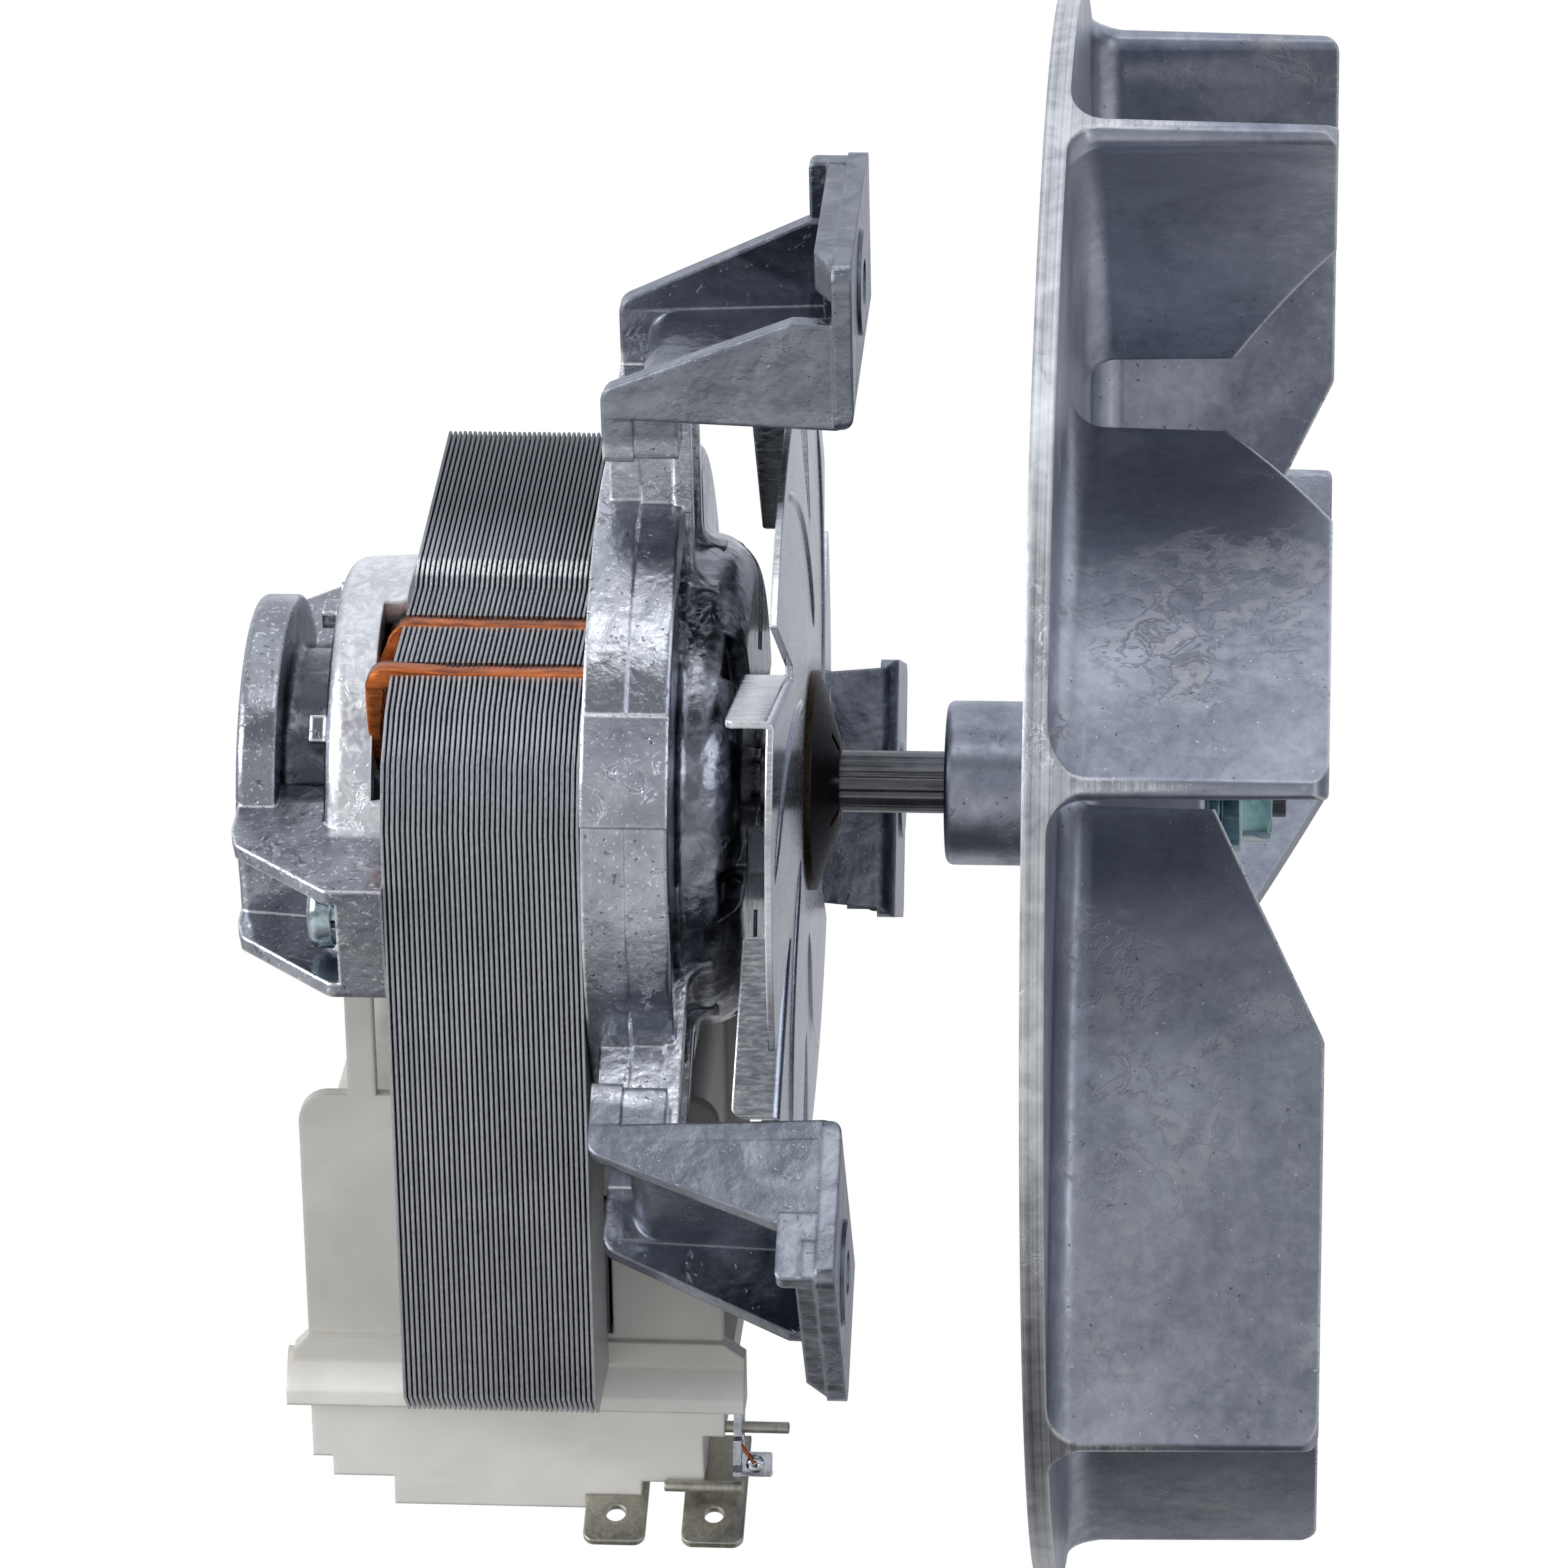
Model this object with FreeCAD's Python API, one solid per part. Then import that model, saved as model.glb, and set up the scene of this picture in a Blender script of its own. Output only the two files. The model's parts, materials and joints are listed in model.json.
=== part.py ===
import FreeCAD, Part
import os
import math

# Fan motor with a cast impeller. Millimetres, +Z up.
# X runs along the shaft towards the impeller; the origin is on the shaft axis
# in the plane of the three mounting pads. Angles are measured about the shaft
# from the -Y side, turning up.

V = FreeCAD.Vector
os.makedirs("parts", exist_ok=True)

# shaft and running fits
shaft_r = 3.1
shaft_rear_x = -60.4
shaft_tip_x = 41.2
thread_r = 2.95
flute_count = 10
flute_r = 0.42
flute_out = 0.12
flute_rear_x = -3.5
flute_front_x = 13.4
run_gap = 0.03
air_gap = 0.3
seat_gap = 0.02

# lamination stack, built upright and leaned about the shaft
stack_lean = 25.0
stack_rear_x = -45.4
stack_front_x = -26.0
sheet_count = 38
sheet_slot = 0.1
slot_depth = 0.35
stack_half = 32.0
stack_top = 24.9
stack_foot = -56.5
foot_chamfer = 3.0
shoulder_drop = 3.2
leg_inner = 18.8
window_top = -22.5
bore_r = 15.4
bar_half_h = 7.5
bar_mid = -45.5
clamp_y = 26.0
clamp_z = 3.0
clamp_r = 2.0
clamp_room = 0.25

# shading rings, copper strap let into the pole faces
strap_w = 2.6
strap_t = 1.3
strap_proud = 1.9
strap_cover = 3.0
strap_outer = [(-8.4, 18.9), (-18.9, 18.4)]
strap_inner = [(-12.4, 11.4), (-15.4, 6.2)]

# rotor
cage_ring_r = 14.0
cage_ring_in = 8.0
cage_ring_len = 3.6
cage_bars = 12
cage_bar_r = 1.1
cage_bar_in = 2.8

# bearings and what holds them
ball_r = 7.0
ball_land = 1.0
bearing_len = 7.0
front_bearing_x = -20.4
clip_t = 0.5
clip_lip = 1.6
clip_reach = 2.8
felt_w = 1.8
felt_len = 3.0
felt_gap = 0.1
thrust_play = 0.4
thrust_lip = 0.5
shoulder_w = 1.5
boss_w = 0.7

# front casting
ring_r = 34.0
ring_step = 0.5
ring_wall = 3.2
ring_front_x = -17.6
ring_plate_t = 2.4
ring_lip_w = 10.8
ring_lip_h = 0.6
dome_r = 24.7
dome_wall = 2.0
dome_front_x = -11.6
dome_round = 5.0
dome_foot_r = 1.2
vent_count = 6
vent_w = 5.2
vent_in = 2.5
vent_out = 1.2
vent_deep = 3.4
lug_r = 5.0
lug_len = 7.0
arm_angles = [60.0, 180.0, 300.0]
arm_half = 12.9
arm_rear_half = 10.8
arm_rear_x = -24.8
arm_wall = 1.7
arm_corner_r = 1.6
arm_floor_r = 47.3
arm_floor_t = 2.0
arm_rear_r = 48.2
arm_front_r = 56.3
arm_flat = 2.6
leg_end_r = 40.4
leg_root = 2.5
leg_draft = 0.93
neck_half = 5.0
scoop_r = 3.0
scoop_in_r = 41.5
rib_t = 1.4
rib_h = 0.8
rib_dome_x = -14.4
rib_dome_r = 2.2
eye_half = 14.5
eye_gap = 0.6
pad_t = 3.6
pad_plate_t = 1.9
pad_half = 13.7
pad_tip_r = 63.0
pad_corner = 1.5
pad_rim_w = 4.6
pad_rim_cut = 3.2
pad_web = 2.3
pad_bend_r = 2.0
post_back = 2.4
bolt_circle_r = 55.0
bolt_hole_r = 2.25
pad_boss_r = 5.2
pad_boss_h = 0.3

# rear casting
cup_r = 22.1
cup_rear_x = -52.6
cup_wall = 2.4
cup_round = 2.0
cup_floor_t = 2.0
bearing_set = 2.2
rear_ring_r = 17.9
rear_ring_x = -61.7
rear_ring_t = 4.0
rear_ring_rim = 3.0
rear_ring_sink = 1.6
rear_boss_r = 12.5
foot_seat_x = -50.0
foot_half = 6.0
foot_wall = 1.5
foot_out_r = 32.5
foot_ring_out = 6.2
pip_count = 8
pip_w = 2.6
pip_h = 1.8
pip_len = 1.6
pip_in = 2.6

# clamp screws
head_r = 3.7
head_t = 2.5
head_round = 1.1
driver_w = 1.0
driver_deep = 1.1
coil_r = 3.3
coil_t = 0.9
coil_split = 0.8
screw_end = 7.6
head_room_r = 4.4

# cooling fan and its washer
fan_x = -6.85
fan_t = 0.7
fan_r = 41.0
fan_flat_r = 14.0
fan_dish = 0.9
fan_tabs = 6
fan_tab_h = 4.0
fan_tab_in_r = 25.2
fan_tab_sweep = 15.4
fan_tab_at = 5.8
fan_tab_round = 1.0
fan_bend_r = 0.9
fan_notch_in = 1.6
fan_notch_out = 8.8
fan_notch_at = 4.7
collar_r = 5.2
collar_gap = 0.6
star_base_r = 11.0
star_tip_r = 4.2
star_len = 2.9
star_t = 0.6
star_teeth = 8
star_slot_w = 0.7
star_slot_r = 6.4

# impeller
wheel_back_x = 18.0
wheel_r = 79.0
wheel_disc_t = 2.2
blade_count = 7
blade_at = -0.9
blade_out_r = 79.0
blade_in_r = 44.7
blade_sweep = 47.2
blade_bow = 3.9
blade_lean = 0.27
blade_t = 2.9
blade_tip_t = 1.9
blade_root_r = 3.2
blade_tip_x = 45.3
blade_cut_x = 10.0
blade_cut_len = 20.5
blade_cut_round = 4.0
wheel_hub_r = 8.2
wheel_hub_back_x = 7.4
wheel_hub_round = 0.8
wheel_boss_x = 33.3
wheel_boss_r = 7.6
wheel_boss_root = 3.0
nut_across = 10.0
nut_flange_r = 6.6
nut_flange_t = 1.9
nut_t = 5.0
nut_turn = 10.0
washer_r = 6.2
washer_t = 1.5

# coil former with its terminal block
former_rear_x = -56.7
former_front_x = -14.6
flange_y = 18.2
flange_t = 1.4
flange_top = -27.0
flange_foot = -60.0
flange_round = 3.0
tongue_x = -50.2
tongue_w = 2.8
tongue_h = 11.0
core_wall = 1.2
core_gap = 0.3
wire_gap = 0.2
wire_inset = 2.2
wire_round = 4.0
skirt_h = 6.0
skirt_out = 2.2
skirt_deep = 0.6
ledge_out = 2.4
block_top = -60.4
block_shelf = -64.6
block_step = -67.8
block_sole = -70.0
block_foot = -73.2
block_rear_in = 8.2
block_front_in = 8.6
block_back_in = 3.0

# push-on tabs, pins and lug
tab_w = 6.3
tab_t = 0.8
tab_len = 8.0
tab_root = 6.0
tab_corner = 1.2
tab_eye_r = 1.0
tab_eye_in = 3.6
tab_lean = 43.0
tab_xs = [-25.7, -15.7]
tab_y = 15.0
tab_root_z = -71.6
pin_r = 0.6
pin_y = 11.0
pin_z = -65.5
pin_out = 8.7
pin_in = 4.0
pin_drop = 6.2
pin_short = 4.7
lug_gap = 3.2
lug_t = 0.8
lug_half = 2.4
lug_foot_len = 6.0


def cyl(x0, x1, r, inner=0.0, y=0.0, z=0.0):
    body = Part.makeCylinder(r, x1 - x0, V(x0, y, z), V(1, 0, 0))
    if inner > 0:
        body = body.cut(Part.makeCylinder(inner, x1 - x0 + 2, V(x0 - 1, y, z), V(1, 0, 0)))
    return body


def box(x0, x1, y0, y1, z0, z1):
    return Part.makeBox(x1 - x0, y1 - y0, z1 - z0, V(x0, y0, z0))


def turned(shape, angle):
    # positive angles turn the -Y side upwards
    out = shape.copy()
    out.rotate(V(0, 0, 0), V(1, 0, 0), -angle)
    return out


def leaned(shape):
    return turned(shape, -stack_lean)


def polar(r, angle):
    a = math.radians(angle)
    return -r * math.cos(a), r * math.sin(a)


def fused(shapes):
    out = shapes[0]
    if len(shapes) > 1:
        out = out.multiFuse(shapes[1:])
    return out.removeSplitter()


def save(shape, name):
    shape.exportStep("parts/" + name + ".step")
    print(name, "valid" if shape.isValid() else "NOT VALID", len(shape.Solids))


def softened(points):
    # a point is (a, b) or (a, b, radius); a radius turns that corner into an arc,
    # given as its start and then the pair (a point on it, its end)
    steps = []
    for n, point in enumerate(points):
        if len(point) == 2:
            steps.append(point)
            continue
        a, b, radius = point
        before = points[n - 1]
        after = points[(n + 1) % len(points)]
        in_len = math.hypot(before[0] - a, before[1] - b)
        out_len = math.hypot(after[0] - a, after[1] - b)
        in_a, in_b = (before[0] - a) / in_len, (before[1] - b) / in_len
        out_a, out_b = (after[0] - a) / out_len, (after[1] - b) / out_len
        half = math.acos(in_a * out_a + in_b * out_b) / 2
        back = radius / math.tan(half)
        reach = radius / math.sin(half) - radius
        mid_len = math.hypot(in_a + out_a, in_b + out_b)
        through = (a + (in_a + out_a) / mid_len * reach, b + (in_b + out_b) / mid_len * reach)
        steps.append((a + in_a * back, b + in_b * back))
        steps.append((through, (a + out_a * back, b + out_b * back)))
    return steps


def outline_face(points, place):
    # place turns a flat point into a point in space
    steps = softened(points)
    edges = []
    here = place(*steps[0])
    for step in steps[1:] + steps[:1]:
        if isinstance(step[0], tuple):
            through = place(*step[0])
            end = place(*step[1])
            edges.append(Part.Arc(here, through, end).toShape())
        else:
            end = place(*step)
            edges.append(Part.LineSegment(here, end).toShape())
        here = end
    return Part.Face(Part.Wire(edges))


def revolve(points):
    # points are (x, radius) pairs, turned about the shaft
    return outline_face(points, lambda x, r: V(x, r, 0)).revolve(V(0, 0, 0), V(1, 0, 0), 360)


def prism_x(points, x0, x1):
    # points are (y, z) pairs, drawn out along X
    return outline_face(points, lambda y, z: V(x0, y, z)).extrude(V(x1 - x0, 0, 0))


def prism_y(points, y0, y1):
    # points are (x, z) pairs, drawn out along Y
    return outline_face(points, lambda x, z: V(x, y0, z)).extrude(V(0, y1 - y0, 0))


def plate_z(points, z0, z1):
    # points are (x, r) pairs; r is laid out towards -Y, drawn out along Z
    return outline_face(points, lambda x, r: V(x, -r, z0)).extrude(V(0, 0, z1 - z0))


# lamination stack
def stack_outline(inset):
    side = stack_half - inset
    top = stack_top - inset
    low = stack_foot + inset
    step = stack_top - shoulder_drop - inset
    return [
        (-side, low + foot_chamfer), (-side + foot_chamfer, low), (-leg_inner, low), (-leg_inner, window_top),
        (leg_inner, window_top), (leg_inner, low), (side - foot_chamfer, low), (side, low + foot_chamfer),
        (side, top - 0.9), (side - 0.9, top - 0.1), (2.6, step + 0.5), (0.6, step - 0.1), (-0.6, step - 1.0),
        (-19.8, step - 2.0), (-25.0, step - 4.0), (-29.4, step - 7.6), (-side, step - 13.4),
    ]


def sheet_slots():
    pitch = (stack_front_x - stack_rear_x) / sheet_count
    window = box(stack_rear_x - 1, stack_front_x + 1, -leg_inner, leg_inner, stack_foot - 9, window_top)
    slots = []
    for n in range(1, sheet_count):
        at = stack_rear_x + n * pitch
        spread = [(y * 1.2, z * 1.2) for y, z in stack_outline(-1.0)]
        ring = prism_x(spread, at - sheet_slot / 2, at + sheet_slot / 2)
        core = prism_x(stack_outline(slot_depth), at - sheet_slot, at + sheet_slot)
        slots.append(ring.cut(core).cut(window))
    return Part.makeCompound(slots)


def strap_seats(outer, inner):
    oy, oz = outer
    iy, iz = inner
    rear = stack_rear_x - strap_proud
    front = stack_front_x + strap_proud
    half_w = strap_w / 2 + seat_gap
    half_t = strap_t / 2 + seat_gap
    low = box(rear, front, iy - half_t, iy + half_t, iz - half_w, iz + half_w)
    high = box(rear, front, oy - half_w, oy + half_w, oz - seat_gap, oz + strap_t + strap_cover)
    return [low, high]


def shading_ring(outer, inner):
    # a strap along the outside of the pole, one through it, and two ends joining them
    oy, oz = outer
    iy, iz = inner
    rear = stack_rear_x - strap_proud
    front = stack_front_x + strap_proud
    mid_z = oz + strap_t / 2
    high = box(rear, front, oy - strap_w / 2, oy + strap_w / 2, oz, oz + strap_t)
    low = box(rear, front, iy - strap_t / 2, iy + strap_t / 2, iz - strap_w / 2, iz + strap_w / 2)
    length = math.hypot(iy - oy, iz - mid_z)
    side_y = -(iz - mid_z) / length * strap_w / 2
    side_z = (iy - oy) / length * strap_w / 2
    ends = [(oy + side_y, mid_z + side_z), (oy - side_y, mid_z - side_z),
            (iy - side_y, iz - side_z), (iy + side_y, iz + side_z)]
    links = [prism_x(ends, x, x + strap_t) for x in (rear, front - strap_t)]
    return fused([high, low] + links)


def clamp_hole(x0, x1, r, sign):
    return cyl(x0, x1, r, y=sign * clamp_y, z=sign * clamp_z)


def make_stack():
    stack = prism_x(stack_outline(0.0), stack_rear_x, stack_front_x).cut(sheet_slots())
    stack = stack.cut(cyl(stack_rear_x - 1, stack_front_x + 1, bore_r))
    near_rings = []
    far_rings = []
    for outer, inner in zip(strap_outer, strap_inner):
        ring = shading_ring(outer, inner)
        near_rings.append(leaned(ring))
        far_rings.append(leaned(turned(ring, 180)))
        for seat in strap_seats(outer, inner):
            stack = stack.cut(seat).cut(turned(seat, 180))
    for sign in (-1, 1):
        stack = stack.cut(clamp_hole(stack_rear_x - 1, stack_front_x + 1, clamp_r + clamp_room, sign))
    save(leaned(stack), "stator_stack")
    save(Part.makeCompound(near_rings), "shading_rings_near")
    save(Part.makeCompound(far_rings), "shading_rings_far")


bar_low = bar_mid - bar_half_h
bar_top = bar_mid + bar_half_h


def make_core_bar():
    half = leg_inner - seat_gap
    save(leaned(box(stack_rear_x, stack_front_x, -half, half, bar_low, bar_top)), "core_bar")


# coil former around the bar, with the terminal block under it
well_rear = stack_rear_x - core_gap
well_front = stack_front_x + core_gap
well_low = bar_low - core_gap
well_top = bar_top + core_gap


def former_flange(y0):
    points = [(former_rear_x, flange_foot), (former_rear_x, flange_top, flange_round),
              (former_front_x, flange_top, flange_round), (former_front_x, flange_foot)]
    return prism_y(points, y0, y0 + flange_t)


def former_skirt():
    low = flange_foot - 1.0
    high = flange_foot + skirt_h
    rear = former_rear_x - skirt_out
    front = former_front_x + skirt_out
    points = [(former_rear_x, high), (former_rear_x - skirt_out * 0.7, high - 1.6), (rear, low),
              (front, low), (front, high - 1.6), (former_front_x, high)]
    return prism_y(points, -flange_y - skirt_deep, -flange_y + flange_t)


def former_ledge():
    low = flange_foot - 1.0
    points = [(-flange_y - ledge_out, flange_foot + 0.6), (-flange_y - ledge_out, low), (-flange_y + 1, low),
              (-flange_y + 1, flange_foot + 4.0), (-flange_y, flange_foot + 4.0)]
    return prism_x(points, former_rear_x - skirt_out, former_front_x + skirt_out)


def terminal_block():
    near = -flange_y - skirt_deep
    far = flange_y
    rear = former_rear_x
    front = former_front_x
    return [
        box(rear, front, near, far, block_shelf, block_top),
        box(rear, front - skirt_out, near, far, block_step, block_shelf),
        box(rear + 2.0, front - skirt_out, near, far - 1.0, block_sole, block_step),
        box(rear + block_rear_in, front - block_front_in, near, far - block_back_in, block_foot, block_sole),
    ]


def make_former(pockets):
    tube = box(well_rear - core_wall, well_front + core_wall, -flange_y, flange_y,
               well_low - core_wall, well_top + core_wall)
    tongue = box(tongue_x - tongue_w / 2, tongue_x + tongue_w / 2, -flange_y, -flange_y + flange_t,
                 flange_top - 1, flange_top + tongue_h)
    former = fused([tube, former_flange(-flange_y), former_flange(flange_y - flange_t), tongue,
                    former_skirt(), former_ledge()] + terminal_block())
    former = former.cut(box(well_rear, well_front, -flange_y - 4, flange_y + 4, well_low, well_top))
    former = leaned(former)
    for pocket in pockets:
        former = former.cut(pocket)
    save(former, "coil_former")


def make_winding():
    half = flange_y - flange_t - wire_gap
    rear = former_rear_x + wire_inset
    front = former_front_x - wire_inset
    low = block_top + wire_gap + 0.4
    high = flange_top - wire_inset
    room = core_wall + wire_gap
    outer = prism_y([(rear, low, wire_round), (rear, high, wire_round),
                     (front, high, wire_round), (front, low, wire_round)], -half, half)
    inner = box(well_rear - room, well_front + room, -half - 1, half + 1, well_low - room, well_top + room)
    save(leaned(outer.cut(inner)), "coil_winding")


# push-on tabs, leaning out under the block
def placed_tab(shape, x):
    out = shape.copy()
    out.rotate(V(x, 0, 0), V(1, 0, 0), -tab_lean)
    out.translate(V(0, tab_y, tab_root_z))
    return out


def make_tab(name, x):
    half = tab_w / 2
    points = [(x - half, tab_root), (x + half, tab_root), (x + half, -tab_len, tab_corner),
              (x - half, -tab_len, tab_corner)]
    tab = prism_y(points, -tab_t / 2, tab_t / 2)
    tab = tab.cut(Part.makeCylinder(tab_eye_r, 4, V(x, -2, -tab_len + tab_eye_in), V(0, 1, 0)))
    save(placed_tab(tab, x), name)
    half += seat_gap
    thick = tab_t / 2 + seat_gap
    pocket = box(x - half, x + half, -thick, thick, -tab_len, tab_root + seat_gap)
    return placed_tab(pocket, x)


# winding pins in the block's front end, one with a solder lug
def make_pins():
    root_x = former_front_x - skirt_out - pin_in
    tip_x = root_x + pin_in + pin_out
    low_y = pin_y + 1.0
    low_z = pin_z - pin_drop
    long_pin = cyl(root_x, tip_x, pin_r, y=pin_y, z=pin_z)
    short_pin = cyl(root_x, tip_x - pin_short, pin_r, y=low_y, z=low_z)
    save(Part.makeCompound([long_pin, short_pin]), "winding_pins")
    lug_x = root_x + pin_in + lug_gap
    face_points = [(pin_y - lug_half, pin_z + 1.6, 0.6), (pin_y + lug_half, pin_z + 1.6, 0.6),
                   (pin_y + lug_half, pin_z - 4.6), (pin_y - lug_half, pin_z - 4.6)]
    lug = prism_x(face_points, lug_x, lug_x + lug_t)
    lug = lug.cut(box(lug_x - 1, lug_x + 2, pin_y - 1.4, pin_y + 1.4, pin_z - 3.6, pin_z - 1.4))
    foot = box(lug_x, lug_x + lug_foot_len, pin_y - 1.2, pin_y + 1.2, pin_z - 4.9, pin_z - 4.2)
    lug = fused([lug, foot]).cut(cyl(lug_x - 3, lug_x + 6, pin_r + seat_gap, y=pin_y, z=pin_z))
    save(lug, "winding_lug")
    hole_r = pin_r + seat_gap
    return [cyl(root_x - 0.05, tip_x, hole_r, y=y, z=z) for y, z in ((pin_y, pin_z), (low_y, low_z))]


# shaft and rotor
def make_shaft():
    shaft = fused([cyl(shaft_rear_x, wheel_boss_x, shaft_r), cyl(wheel_boss_x - 0.5, shaft_tip_x, thread_r)])
    flutes = []
    for n in range(flute_count):
        y, z = polar(shaft_r + flute_out, 360.0 / flute_count * n + 12.0)
        flutes.append(cyl(flute_rear_x, flute_front_x, flute_r, y=y, z=z))
    save(shaft.cut(Part.makeCompound(flutes)), "shaft")


def make_rotor():
    rotor_r = bore_r - air_gap
    core = cyl(stack_rear_x, stack_front_x, rotor_r, shaft_r + seat_gap)
    bars = []
    bar_holes = []
    for n in range(cage_bars):
        y, z = polar(rotor_r - cage_bar_in, 360.0 / cage_bars * n)
        bars.append(cyl(stack_rear_x - 1, stack_front_x + 1, cage_bar_r, y=y, z=z))
        bar_holes.append(cyl(stack_rear_x - 1, stack_front_x + 1, cage_bar_r + seat_gap, y=y, z=z))
    save(core.cut(Part.makeCompound(bar_holes)), "rotor_core")
    rear_ring = cyl(stack_rear_x - cage_ring_len, stack_rear_x - seat_gap, cage_ring_r, cage_ring_in)
    front_ring = cyl(stack_front_x + seat_gap, stack_front_x + cage_ring_len, cage_ring_r, cage_ring_in)
    save(fused([rear_ring, front_ring] + bars), "rotor_cage")


# bearings, felts, clips and thrust washers
front_end_x = front_bearing_x + bearing_len
rear_end_x = cup_rear_x + bearing_set
rear_bearing_x = rear_end_x - bearing_len
bearing_seat_r = ball_r + seat_gap
felt_in = ball_r + felt_gap
felt_out = felt_in + felt_w
clip_in = ball_r - clip_lip
clip_out = ball_r + clip_reach
boss_r = clip_out + boss_w
shoulder_r = shaft_r + shoulder_w


def make_bearing(name, x0):
    x1 = x0 + bearing_len
    bore = shaft_r + run_gap
    points = [(x0, bore), (x0, ball_r - ball_land), (x0 + 1.6, ball_r - 0.1), (x0 + bearing_len / 2, ball_r),
              (x1 - 1.6, ball_r - 0.1), (x1, ball_r - ball_land), (x1, bore)]
    save(revolve(points), name)


def make_bearings():
    make_bearing("front_bearing", front_bearing_x)
    make_bearing("rear_bearing", rear_bearing_x)
    front_clip_x = front_bearing_x - seat_gap - clip_t
    rear_clip_x = rear_end_x + seat_gap
    save(cyl(front_clip_x, front_clip_x + clip_t, clip_out, clip_in), "front_bearing_clip")
    save(cyl(rear_clip_x, rear_clip_x + clip_t, clip_out, clip_in), "rear_bearing_clip")
    save(cyl(front_bearing_x + 0.05, front_bearing_x + felt_len, felt_out, felt_in), "front_oil_felt")
    save(cyl(rear_end_x - felt_len, rear_end_x - 0.05, felt_out, felt_in), "rear_oil_felt")
    thrust_r = clip_in - thrust_lip
    thrust_in = shaft_r + seat_gap
    front_thrust = cyl(stack_front_x + thrust_play, front_bearing_x - thrust_play, thrust_r, thrust_in)
    rear_thrust = cyl(rear_end_x + thrust_play, stack_rear_x - thrust_play, thrust_r, thrust_in)
    save(front_thrust, "thrust_washer_front")
    save(rear_thrust, "thrust_washer_rear")


# front casting: ring, dome and bearing boss in one outline
ring_mid_x = (stack_front_x + ring_front_x) / 2


def front_body():
    plate_rear_x = ring_front_x - ring_plate_t
    inner_x = dome_front_x - dome_wall
    return revolve([
        (stack_front_x, ring_r - ring_wall), (stack_front_x, ring_r), (ring_mid_x, ring_r),
        (ring_mid_x, ring_r - ring_step), (ring_front_x, ring_r - ring_step, 0.5),
        (ring_front_x, dome_r, dome_foot_r), (dome_front_x, dome_r, dome_round), (dome_front_x, shoulder_r),
        (front_bearing_x, shoulder_r), (front_bearing_x, boss_r), (inner_x, boss_r),
        (inner_x, dome_r - dome_wall, dome_round - dome_wall), (plate_rear_x, dome_r - dome_wall),
        (plate_rear_x, ring_r - ring_wall),
    ])


def ring_lip():
    lip = cyl(stack_front_x, ring_front_x, ring_r + ring_lip_h, ring_r - 1.5)
    return lip.common(box(stack_front_x, ring_front_x, -ring_r - 5, 0, -ring_lip_w / 2, ring_lip_w / 2))


def arm_spread():
    return math.degrees(math.atan2(arm_half - arm_rear_half, -arm_rear_x))


def arm_walls(front_x):
    # two cheeks that part towards the pad
    floor_in = arm_floor_r - arm_floor_t
    side = [(arm_rear_x, floor_in), (arm_rear_x, arm_rear_r, arm_corner_r), (-pad_t - arm_flat, arm_front_r),
            (front_x, arm_front_r), (front_x, floor_in)]
    low = plate_z(side, -arm_rear_half, -arm_rear_half + arm_wall)
    low.rotate(V(arm_rear_x, 0, -arm_rear_half), V(0, 1, 0), arm_spread())
    high = plate_z(side, arm_rear_half - arm_wall, arm_rear_half)
    high.rotate(V(arm_rear_x, 0, arm_rear_half), V(0, 1, 0), -arm_spread())
    return [low, high]


def arm_floor(front_x):
    points = [(arm_rear_x, -arm_rear_half), (front_x, -arm_half + 0.1), (front_x, arm_half - 0.1),
              (arm_rear_x, arm_rear_half)]
    face = outline_face(points, lambda x, z: V(x, -arm_floor_r, z))
    return face.extrude(V(0, arm_floor_t, 0))


def arm_leg():
    # stepped from the wide floor down to the neck on the ring
    root_r = ring_r - leg_root
    floor_r = arm_floor_r - 0.5

    def section(scale):
        wide = arm_rear_half * scale
        narrow = neck_half * scale
        return [(-floor_r, -wide), (-leg_end_r, -wide, 0.8), (-leg_end_r, -narrow, 0.8), (-root_r, -narrow),
                (-root_r, narrow), (-leg_end_r, narrow, 0.8), (-leg_end_r, wide, 0.8), (-floor_r, wide)]

    rear_part = prism_x(section(1.0), arm_rear_x, ring_mid_x)
    front_part = prism_x(section(leg_draft), ring_mid_x, ring_front_x)
    return [rear_part, front_part]


def arm_scoop():
    # the leg's rear face is set in between the cheeks and rounds into the floor
    web_x = arm_rear_x + scoop_r
    half = arm_rear_half - arm_wall
    points = [(arm_rear_x - 1, scoop_in_r, 1.0), (web_x, scoop_in_r), (web_x, arm_floor_r, scoop_r),
              (web_x + scoop_r + 0.4, arm_floor_r), (web_x + scoop_r + 0.4, arm_floor_r + 1.0),
              (arm_rear_x - 1, arm_floor_r + 1.0)]
    return plate_z(points, -half, half)


def arm_ribs():
    # two low ribs on the front, rounding up the dome's side and running out to the arm's floor
    rear_x = ring_front_x - 1.0
    top_x = ring_front_x + rib_h
    low_r = dome_r - 2.2
    foot_r = dome_r - 0.4
    floor_in = arm_floor_r - arm_floor_t + 0.3
    points = [(rear_x, low_r), (rib_dome_x, low_r), (rib_dome_x, foot_r), (top_x, foot_r, rib_dome_r),
              (top_x, floor_in), (rear_x, floor_in)]
    return [plate_z(points, neck_half - rib_t, neck_half), plate_z(points, -neck_half, -neck_half + rib_t)]


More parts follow.
